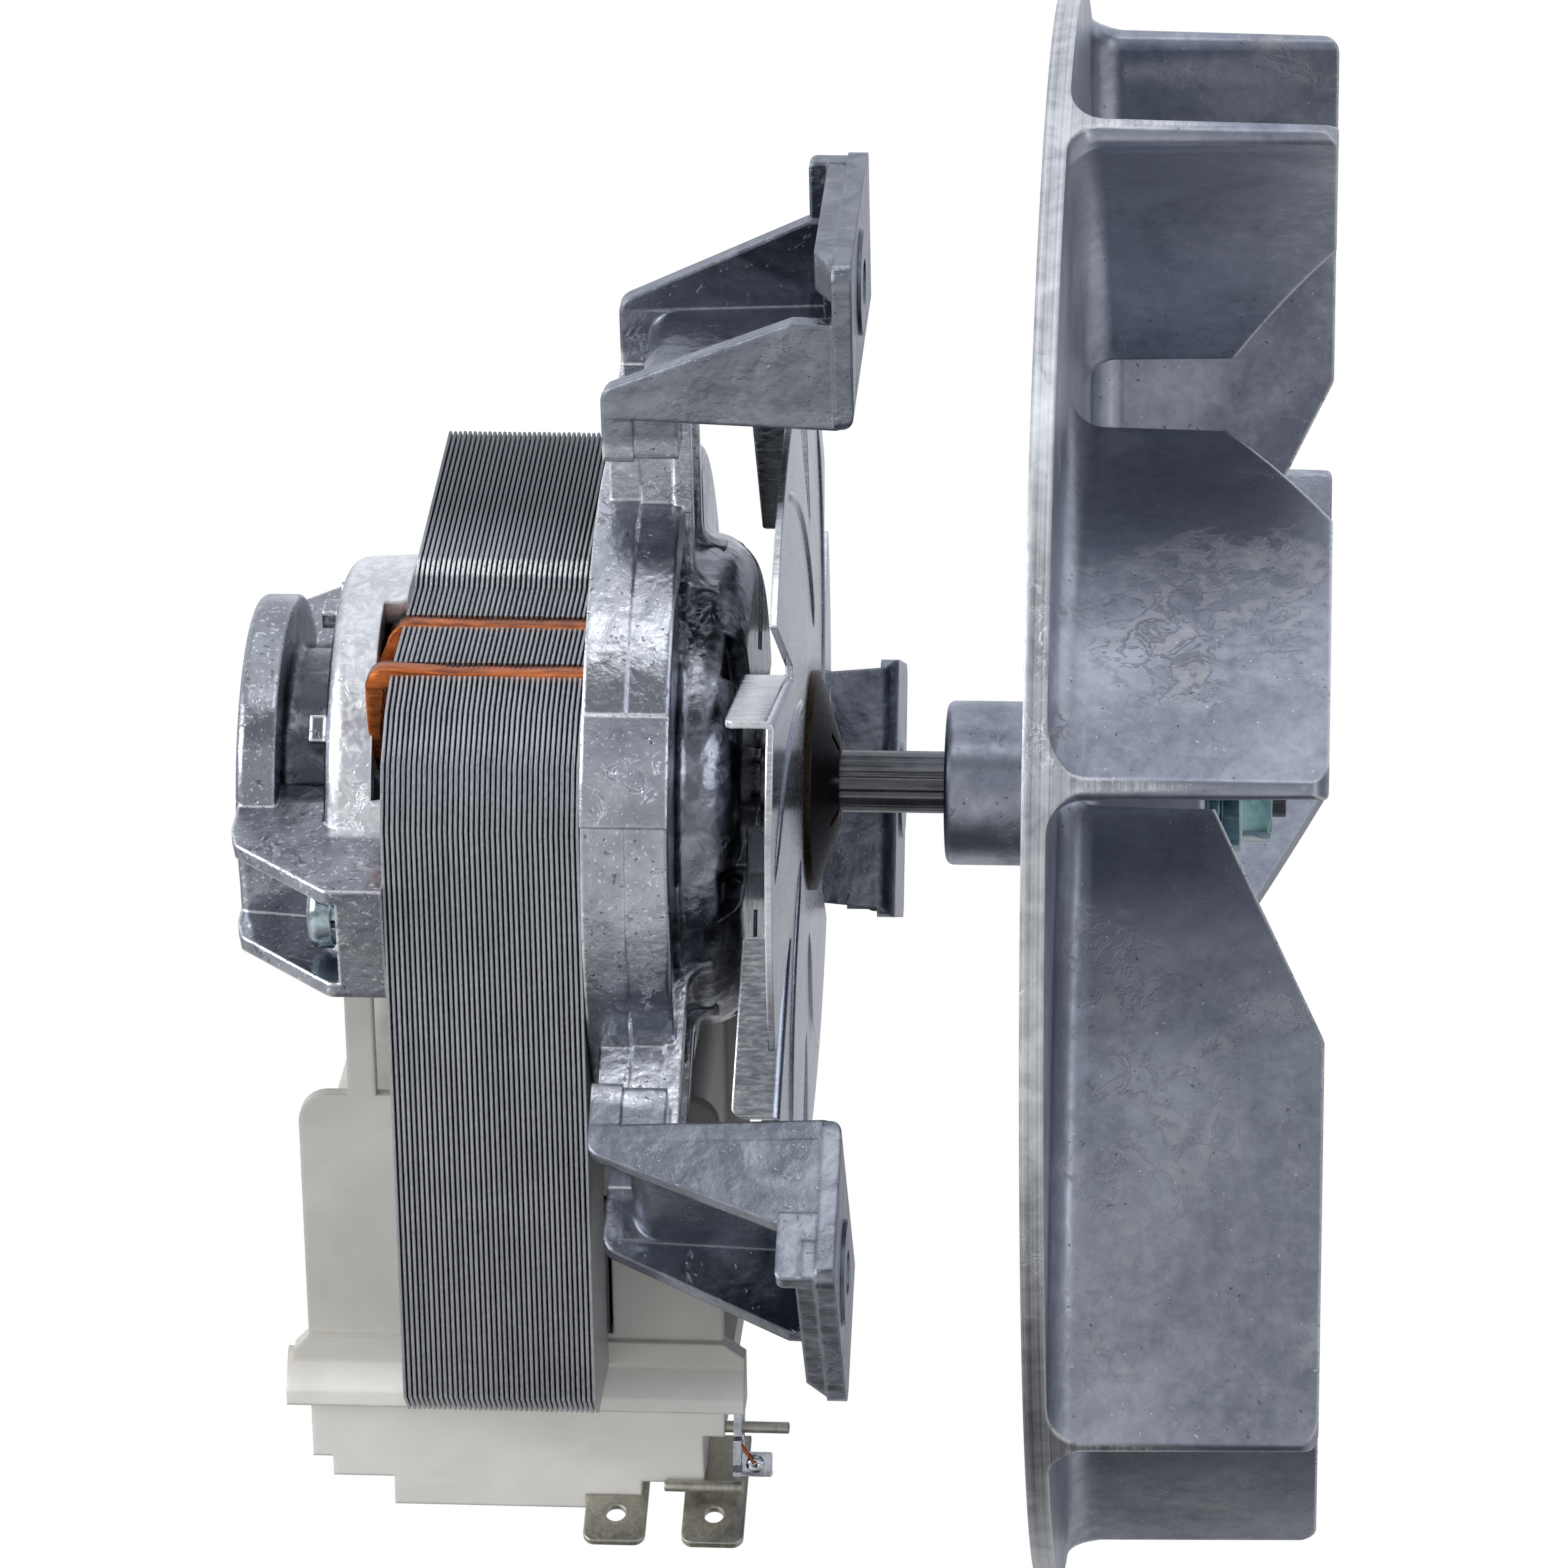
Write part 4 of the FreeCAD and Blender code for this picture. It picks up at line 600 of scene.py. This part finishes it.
# pieces carried over from the frame
def mergedCopy(nodeName, pieceName):
    # a node's mesh with its loose triangles joined
    mesh = nodes[nodeName].data.copy()
    mesh.name = pieceName
    mesh.materials.clear()
    work = bmesh.new()
    work.from_mesh(mesh)
    bmesh.ops.remove_doubles(work, verts=work.verts, dist=0.002 * mm)
    work.to_mesh(mesh)
    work.free()
    if "custom_normal" in mesh.attributes:
        mesh.attributes.remove(mesh.attributes["custom_normal"])
    piece = bpy.data.objects.new(pieceName, mesh)
    scene.collection.objects.link(piece)
    return piece


def bakeModifiers(piece):
    # keeps the evaluated mesh and drops the modifiers that made it
    view = bpy.context.evaluated_depsgraph_get()
    mesh = bpy.data.meshes.new_from_object(piece.evaluated_get(view))
    piece.modifiers.clear()
    old = piece.data
    mesh.name = piece.name
    piece.data = mesh
    bpy.data.meshes.remove(old)


def smoothFaces(piece, finish, angle=38):
    piece.data.materials.clear()
    piece.data.materials.append(finish)
    piece.data.shade_smooth()
    piece.data.set_sharp_from_angle(angle=math.radians(angle))


def standFor(piece, nodeName):
    # the piece takes a node's place, on that node's body
    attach(piece, nodes[nodeName]["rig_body"])
    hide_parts(nodeName)
    print(piece.name, len(piece.data.polygons), "faces")


# wound coil under its ivory tape
tapedCoil = mergedCopy("coil_winding", "taped_coil")
smoothFaces(tapedCoil, formerNylon)
standFor(tapedCoil, "coil_winding")

stackLean = Matrix.Rotation(math.radians(25.0), 3, "X")  # the core and its screws lean about the shaft


def meshPiece(name, points, faces, finish, angle=38):
    mesh = bpy.data.meshes.new(name)
    mesh.from_pydata(points, [], faces)
    work = bmesh.new()
    work.from_mesh(mesh)
    bmesh.ops.recalc_face_normals(work, faces=work.faces[:])
    work.to_mesh(mesh)
    work.free()
    piece = bpy.data.objects.new(name, mesh)
    scene.collection.objects.link(piece)
    smoothFaces(piece, finish, angle)
    return piece


# shading rings: copper strap bent round two legs of the pole, rounded where it turns
strapSize = {"rearX": -46.6, "frontX": -24.8, "bend": 1.3, "steps": 5, "corner": 0.28,
             "legW": 2.6, "legT": 1.2, "thinFrom": 7.0, "thinT": 1.1, "bendW": 2.7,
             "linkT": 1.3, "linkOut": 0.9,
             "rings": [{"outer": (-8.4, 19.55), "inner": (-12.4, 11.4), "bendX": -45.85,
                        "lugT": 1.5, "linkW": 1.9},
                       {"outer": (-18.9, 19.05), "inner": (-15.4, 6.2), "bendX": -46.95,
                        "lugT": 2.0, "linkW": 2.4}]}


def strapPath(size, ring):
    # stations round the loop: place, direction of the width, width and thickness
    oy, oz = ring["outer"]
    iy, iz = ring["inner"]
    flat = Vector((0, 1, 0))
    down = Vector((0, iy - oy, iz - oz)).normalized()
    side = Vector((0, -down.z, down.y))
    middle = Vector((0, (oy + iy) / 2, (oz + iz) / 2))
    rear = size["rearX"]
    front = size["frontX"]
    out = size["linkOut"]
    wide = size["legW"]
    thick = size["linkT"]
    return [(Vector((front, oy, oz)), flat, wide, size["legT"]),
            (Vector((rear + size["thinFrom"], oy, oz)), flat, wide, size["thinT"]),
            (Vector((ring["bendX"], oy, oz)), flat, size["bendW"], ring["lugT"]),
            (Vector((rear - out, 0, 0)) + middle, side, ring["linkW"], thick),
            (Vector((rear, iy, iz)), side, thick, thick),
            (Vector((front, iy, iz)), side, thick, thick),
            (Vector((front + out, 0, 0)) + middle, side, ring["linkW"], thick)]


def roundedPath(stations, bend, steps):
    # every corner of a closed path becomes a short curve
    path = []
    count = len(stations)
    for n in range(count):
        before, here, after = (stations[(n + k) % count] for k in (-1, 0, 1))
        back = before[0] - here[0]
        ahead = after[0] - here[0]
        reach = min(bend, back.length * 0.45, ahead.length * 0.45)
        start = here[0] + back.normalized() * reach
        end = here[0] + ahead.normalized() * reach
        for k in range(steps + 1):
            t = k / steps
            place = start * (1 - t) ** 2 + here[0] * 2 * t * (1 - t) + end * t ** 2
            share = reach / (back if t < 0.5 else ahead).length * abs(1 - 2 * t)
            other = before if t < 0.5 else after
            side = here[1].lerp(other[1], share).normalized()
            width = here[2] + (other[2] - here[2]) * share
            thick = here[3] + (other[3] - here[3]) * share
            path.append((place, side, width, thick))
    return path


def sweepBand(path, corner, turn):
    # a closed band of rounded rectangular section along a closed path, in metres
    points = []
    faces = []
    count = len(path)
    for n, (place, side, width, thick) in enumerate(path):
        along = (path[(n + 1) % count][0] - path[n - 1][0]).normalized()
        side = (side - along * side.dot(along)).normalized()
        up = along.cross(side)
        for cy, cz, first in ((1, 1, 0), (-1, 1, 90), (-1, -1, 180), (1, -1, 270)):
            for step in range(3):
                angle = math.radians(first + step * 45)
                across = cy * (width / 2 - corner) + corner * math.cos(angle)
                lift = cz * (thick / 2 - corner) + corner * math.sin(angle)
                points.append(turn @ (place + side * across + up * lift) * mm)
    for n in range(count):
        for k in range(12):
            here, after = n * 12, (n + 1) % count * 12
            faces.append((here + k, here + (k + 1) % 12, after + (k + 1) % 12, after + k))
    return points, faces


def buildStraps(size, nodeName, turn):
    points = []
    faces = []
    for ring in size["rings"]:
        path = roundedPath(strapPath(size, ring), size["bend"], size["steps"])
        more, loops = sweepBand(path, size["corner"], turn)
        faces += [tuple(index + len(points) for index in loop) for loop in loops]
        points += more
    piece = meshPiece(nodeName.replace("rings", "straps"), points, faces, shadeCopper)
    standFor(piece, nodeName)


buildStraps(strapSize, "shading_rings_near", stackLean)
buildStraps(strapSize, "shading_rings_far", stackLean @ Matrix.Rotation(math.pi, 3, "X"))


# clamp screws: rounded heads with a round recess, plain shanks
def latheX(profile, centre, steps, turn):
    # profile of (x, radius) from one end on the axis to the other, turned about a line along X
    points = []
    faces = []
    rings = []
    for x, radius in profile:
        if radius == 0:
            rings.append([len(points)])
            points.append(turn @ Vector((x, *centre)) * mm)
            continue
        rings.append(list(range(len(points), len(points) + steps)))
        for k in range(steps):
            angle = 2 * math.pi * k / steps
            spot = Vector((x, centre[0] + radius * math.cos(angle), centre[1] + radius * math.sin(angle)))
            points.append(turn @ spot * mm)
    for first, second in zip(rings, rings[1:]):
        for k in range(steps):
            after = k + 1
            face = [first[k % len(first)], first[after % len(first)], second[after % len(second)],
                    second[k % len(second)]]
            faces.append(tuple(dict.fromkeys(face)))
    return points, faces


screwSize = {"centre": 26.0, "height": 3.0, "head": 3.7, "headLong": 2.5, "round": 1.2, "shank": 1.95,
             "recess": 1.5, "recessDeep": 1.2, "seatEase": 0.15, "tipEase": 0.4, "sides": 40}


def buildScrews(size):
    low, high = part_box("clamp_screws")
    rear = low.x / mm
    seat = rear + size["headLong"]
    head = size["head"]
    edge = size["round"]
    profile = [(rear + size["recessDeep"], 0), (rear + size["recessDeep"], size["recess"] * 0.5),
               (rear + 0.05, size["recess"]), (rear, size["recess"] + 0.1)]
    for k in range(7):
        angle = math.radians(90 * k / 6)
        profile.append((rear + edge - edge * math.cos(angle), head - edge + edge * math.sin(angle)))
    tip = high.x / mm
    shank = size["shank"]
    ease = size["seatEase"]
    profile += [(seat - ease, head), (seat, head - ease), (seat, shank),
                (tip - size["tipEase"], shank), (tip, shank - size["tipEase"]), (tip, 0)]
    points = []
    faces = []
    for side in (-1, 1):
        centre = (side * size["centre"], side * size["height"])
        more, loops = latheX(profile, centre, size["sides"], stackLean)
        faces += [tuple(index + len(points) for index in loop) for loop in loops]
        points += more
    piece = meshPiece("clamp_screws_dressed", points, faces, zincSteel)
    standFor(piece, "clamp_screws")


buildScrews(screwSize)


# impeller: the tip corners of its blades rounded off, all at one radius
tipSize = {"tipX": 45.32, "outerR": 78.54, "round": 2.2, "steps": 8, "sides": 256,
           "rearX": 5.0, "spareR": 81.0, "spareX": 1.0}


def buildWheel(size):
    edge = size["round"]
    bendX = size["tipX"] - edge
    bendR = size["outerR"] - edge
    spare = size["spareR"]
    profile = [(size["rearX"], 0), (size["rearX"], spare), (bendX - size["spareX"], spare)]
    for k in range(size["steps"] + 1):
        angle = math.radians(90 * k / size["steps"])
        profile.append((bendX + edge * math.sin(angle), bendR + edge * math.cos(angle)))
    profile.append((size["tipX"], 0))
    points, faces = latheX(profile, (0, 0), size["sides"], Matrix.Identity(3))
    keep = meshPiece("tip_envelope", points, faces, wheelCast)
    piece = mergedCopy("impeller", "impeller_dressed")
    trim = piece.modifiers.new("roundTips", "BOOLEAN")
    trim.operation = "INTERSECT"
    trim.solver = "MANIFOLD"
    trim.object = keep
    bakeModifiers(piece)
    bpy.data.objects.remove(keep)
    smoothFaces(piece, wheelCast)
    standFor(piece, "impeller")


buildWheel(tipSize)


# small parts with their corners eased
def easedPiece(nodeName, finish, radius, angle=40):
    piece = mergedCopy(nodeName, nodeName + "_dressed")
    flat = piece.modifiers.new("joinFlats", "DECIMATE")
    flat.decimate_type = "DISSOLVE"
    flat.angle_limit = math.radians(1.0)
    corners = piece.modifiers.new("roundCorners", "BEVEL")
    corners.width = radius * mm
    corners.segments = 3
    corners.limit_method = "ANGLE"
    corners.angle_limit = math.radians(angle)
    bakeModifiers(piece)
    smoothFaces(piece, finish, 50)
    standFor(piece, nodeName)


for nodeName, radius in (("impeller_nut", 0.45), ("impeller_washer", 0.2)):
    easedPiece(nodeName, nutZinc, radius)
for nodeName, radius in (("terminal_tab_rear", 0.14), ("terminal_tab_front", 0.14), ("winding_pins", 0.15)):
    easedPiece(nodeName, tinnedBrass, radius)


# winding lug: slotted plate with a turned-up end, where the wire end is soldered
lugSize = {"plates": [((-13.6, 8.6, -70.1), (-12.8, 9.6, -63.9)),
                      ((-13.6, 12.4, -70.1), (-12.8, 13.4, -63.9)),
                      ((-13.6, 8.6, -66.9), (-12.8, 13.4, -66.2)),
                      ((-13.6, 8.6, -70.4), (-12.8, 13.4, -69.1)),
                      ((-13.3, 9.5, -70.4), (-9.8, 12.2, -69.8)),
                      ((-12.9, 9.5, -70.4), (-9.7, 10.1, -67.9))],
           "ease": 0.12, "joint": (-11.4, 9.55, -69.1), "jointR": 1.0,
           "jointProfile": [(0.5, 0), (0.5, 0.95), (0.0, 1.0), (-0.22, 0.8), (-0.42, 0.5), (-0.36, 0.3),
                            (-0.12, 0.2), (-0.05, 0)],
           "wire": [(-13.3, 9.4, -66.3), (-12.8, 8.9, -67.2), (-12.2, 9.0, -68.0), (-11.5, 9.3, -69.0)],
           "wireR": 0.2}


def addPlate(work, low, high):
    made = bmesh.ops.create_cube(work, size=1.0)["verts"]
    middle = (Vector(low) + Vector(high)) / 2 * mm
    for vert in made:
        for axis in range(3):
            vert.co[axis] = middle[axis] + vert.co[axis] * (high[axis] - low[axis]) * mm


def sweepTube(points, radius, steps=10):
    # an open round wire through its points, closed at both ends
    verts = []
    faces = []
    for n, place in enumerate(points):
        before = Vector(points[max(n - 1, 0)])
        after = Vector(points[min(n + 1, len(points) - 1)])
        along = (after - before).normalized()
        side = along.orthogonal().normalized()
        up = along.cross(side)
        for k in range(steps):
            angle = 2 * math.pi * k / steps
            verts.append((Vector(place) + (side * math.cos(angle) + up * math.sin(angle)) * radius) * mm)
    for n in range(len(points) - 1):
        for k in range(steps):
            a = n * steps
            faces.append((a + k, a + (k + 1) % steps, a + steps + (k + 1) % steps, a + steps + k))
    faces.append(tuple(range(steps)))
    faces.append(tuple(range(len(verts) - steps, len(verts))))
    return verts, faces


def buildLug(size):
    work = bmesh.new()
    for low, high in size["plates"]:
        addPlate(work, low, high)
    bmesh.ops.bevel(work, geom=work.edges[:], offset=size["ease"] * mm, segments=2, affect="EDGES",
                    clamp_overlap=True)
    mesh = bpy.data.meshes.new("winding_lug_dressed")
    work.to_mesh(mesh)
    work.free()
    piece = bpy.data.objects.new("winding_lug_dressed", mesh)
    scene.collection.objects.link(piece)
    smoothFaces(piece, solder)
    standFor(piece, "winding_lug")

    profile = [(x, radius * size["jointR"]) for x, radius in size["jointProfile"]]
    points, faces = latheX(profile, (0, 0), 24, Matrix.Rotation(math.radians(90), 3, "Z"))
    points = [point + Vector(size["joint"]) * mm for point in points]
    joint = meshPiece("solder_joint", points, faces, solder, 70)
    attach(joint, "stator")
    wire = meshPiece("winding_wire_end", *sweepTube(size["wire"], size["wireR"]), shadeCopper, 60)
    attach(wire, "stator")


buildLug(lugSize)

# cooling fan: ribs pressed into its face, swept back from the middle to the rim
ribSize = {"count": 6, "start": 14.5, "end": 39.0, "sweep": 46.0, "at": 31.0, "width": 1.7, "height": 0.42,
           "sunk": 0.12, "under": 0.35, "steps": 18, "rounds": 6}


def buildFanRibs(size):
    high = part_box("cooling_fan")[1]
    finder = nodes["cooling_fan"]
    toWorld = finder.matrix_world
    toLocal = toWorld.inverted()
    points = []
    faces = []
    section = size["rounds"] + 2
    for n in range(size["count"]):
        for k in range(size["steps"] + 1):
            t = k / size["steps"]
            reach = (size["start"] + (size["end"] - size["start"]) * t) * mm
            angle = math.radians(size["at"] + n * 360 / size["count"] + size["sweep"] * t)
            swell = math.sin(math.pi * min(1.0, 5 * min(t, 1 - t)) / 2) ** 0.5
            outward = Vector((0, math.cos(angle), math.sin(angle)))
            side = Vector((0, -outward.z, outward.y))
            above = outward * reach + Vector((high.x + 2 * mm, 0, 0))
            hit, at, normal, index = finder.ray_cast(toLocal @ above, toLocal.to_3x3() @ Vector((-1, 0, 0)))
            face = (toWorld @ at).x if hit else high.x
            for step in range(size["rounds"] + 1):
                turn = math.pi * step / size["rounds"]
                across = side * (math.cos(turn) * size["width"] / 2 * mm)
                lift = (math.sin(turn) * size["height"] * swell - size["sunk"]) * mm
                points.append(outward * reach + across + Vector((face + lift, 0, 0)))
            points.append(outward * reach + Vector((face - size["under"] * mm, 0, 0)))
        first = n * (size["steps"] + 1) * section
        for k in range(size["steps"]):
            here = first + k * section
            ahead = here + section
            for step in range(section):
                after = (step + 1) % section
                faces.append((here + step, here + after, ahead + after, ahead + step))
        last = first + size["steps"] * section
        faces.append(tuple(range(first, first + section)))
        faces.append(tuple(range(last, last + section)))
    piece = meshPiece("fan_pressed_ribs", points, faces, sheetBright, 60)
    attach(piece, nodes["cooling_fan"]["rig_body"])
    print(piece.name, len(faces), "faces")


buildFanRibs(ribSize)

# lamination stack: one chamfered sheet, repeated along the shaft with a slight shift
stackSize = {"sheets": 38, "gap": 0.20 * mm, "chamfer": 0.08 * mm, "jitter": 0.02 * mm, "flat": 0.01 * mm,
             "seed": 7}


def buildStack(size):
    low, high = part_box("stator_stack")
    pitch = (high.x - low.x) / size["sheets"]
    piece = mergedCopy("stator_stack", "stator_stack_sheets")
    sheet = bmesh.new()
    sheet.from_mesh(piece.data)
    others = [f for f in sheet.faces
              if f.normal.x > -0.99 or abs(f.calc_center_median().x - low.x) > size["flat"]]
    bmesh.ops.delete(sheet, geom=others, context="FACES")
    grown = bmesh.ops.extrude_face_region(sheet, geom=sheet.faces[:])
    moved = [v for v in grown["geom"] if isinstance(v, bmesh.types.BMVert)]
    bmesh.ops.translate(sheet, verts=moved, vec=(pitch - size["gap"], 0, 0))
    bmesh.ops.recalc_face_normals(sheet, faces=sheet.faces[:])
    sharp = [e for e in sheet.edges if len(e.link_faces) == 2 and e.calc_face_angle(0) > math.radians(60)
             and abs(e.verts[0].co.x - e.verts[1].co.x) < size["flat"]]
    bmesh.ops.bevel(sheet, geom=sharp, offset=size["chamfer"], segments=1, affect="EDGES",
                    clamp_overlap=True)
    sheet.to_mesh(piece.data)
    sheet.free()
    edges = sheetEdgeFinish("siliconSteelEdges", {
        "rearX": low.x, "pitch": pitch, "dark": "#9a9da2", "light": "#d6d8db", "paintedTopShade": "#6a6d72",
        "topShadeShare": 0.8})

    tree = bpy.data.node_groups.new("sheetStack", "GeometryNodeTree")
    face = tree.interface
    for label, kind in (("Sheet", "Geometry"), ("Sheets", "Int"), ("Pitch", "Float"), ("Jitter", "Float"),
                        ("Seed", "Int"), ("Finish", "Material")):
        face.new_socket(label, in_out="INPUT", socket_type="NodeSocket" + kind)
    face.new_socket("Stack", in_out="OUTPUT", socket_type="NodeSocketGeometry")
    given = addNode(tree, "NodeGroupInput").outputs
    step = addNode(tree, "CombineXYZ", {"X": given["Pitch"]})
    line = addNode(tree, "GeometryNodeMeshLine", {"Count": given["Sheets"], "Offset": step})
    laid = addNode(tree, "GeometryNodeInstanceOnPoints", {"Points": line, "Instance": given["Sheet"]})
    least = addNode(tree, "Math", {0: given["Jitter"], 1: -1.0}, operation="MULTIPLY")
    lowest = addNode(tree, "CombineXYZ", {"Y": least, "Z": least})
    highest = addNode(tree, "CombineXYZ", {"Y": given["Jitter"], "Z": given["Jitter"]})
    shift = addNode(tree, "FunctionNodeRandomValue", {0: lowest, 1: highest, "Seed": given["Seed"]},
                    data_type="FLOAT_VECTOR")
    moved = addNode(tree, "GeometryNodeTranslateInstances", {"Instances": laid, "Translation": shift})
    real = addNode(tree, "GeometryNodeRealizeInstances", {0: moved})
    coated = addNode(tree, "GeometryNodeSetMaterial", {"Geometry": real, "Material": given["Finish"]})
    addNode(tree, "NodeGroupOutput", {0: coated})
    grow = piece.modifiers.new("sheetStack", "NODES")
    grow.node_group = tree
    values = {"Sheets": size["sheets"], "Pitch": pitch, "Jitter": size["jitter"], "Seed": size["seed"],
              "Finish": edges}
    for item in face.items_tree:
        if item.in_out == "INPUT" and item.name in values:
            grow[item.identifier] = values[item.name]
    bakeModifiers(piece)
    piece.data.shade_smooth()
    piece.data.set_sharp_from_angle(angle=math.radians(30))
    standFor(piece, "stator_stack")


buildStack(stackSize)

# nodes shown as they are, each with its finish
plainNodes = {
    "front_bracket": bracketCast, "rear_bracket": rearCast, "cooling_fan": sheetBright,
    "coil_former": formerNylon, "core_bar": rotorSteel, "rotor_core": rotorSteel,
    "rotor_cage": bracketCast, "shaft": shaftSteel,
    "front_bearing": bronze, "rear_bearing": bronze, "front_bearing_clip": springSteel,
    "rear_bearing_clip": springSteel, "front_oil_felt": oilFelt, "rear_oil_felt": oilFelt,
    "spring_washers": zincSteel, "fan_collar": shaftSteel, "star_washer": springSteel,
    "thrust_washer_front": washerNylon, "thrust_washer_rear": washerNylon}
for nodeName, finish in plainNodes.items():
    nodes[nodeName].data.materials.clear()
    nodes[nodeName].data.materials.append(finish)
print("nodes finished")
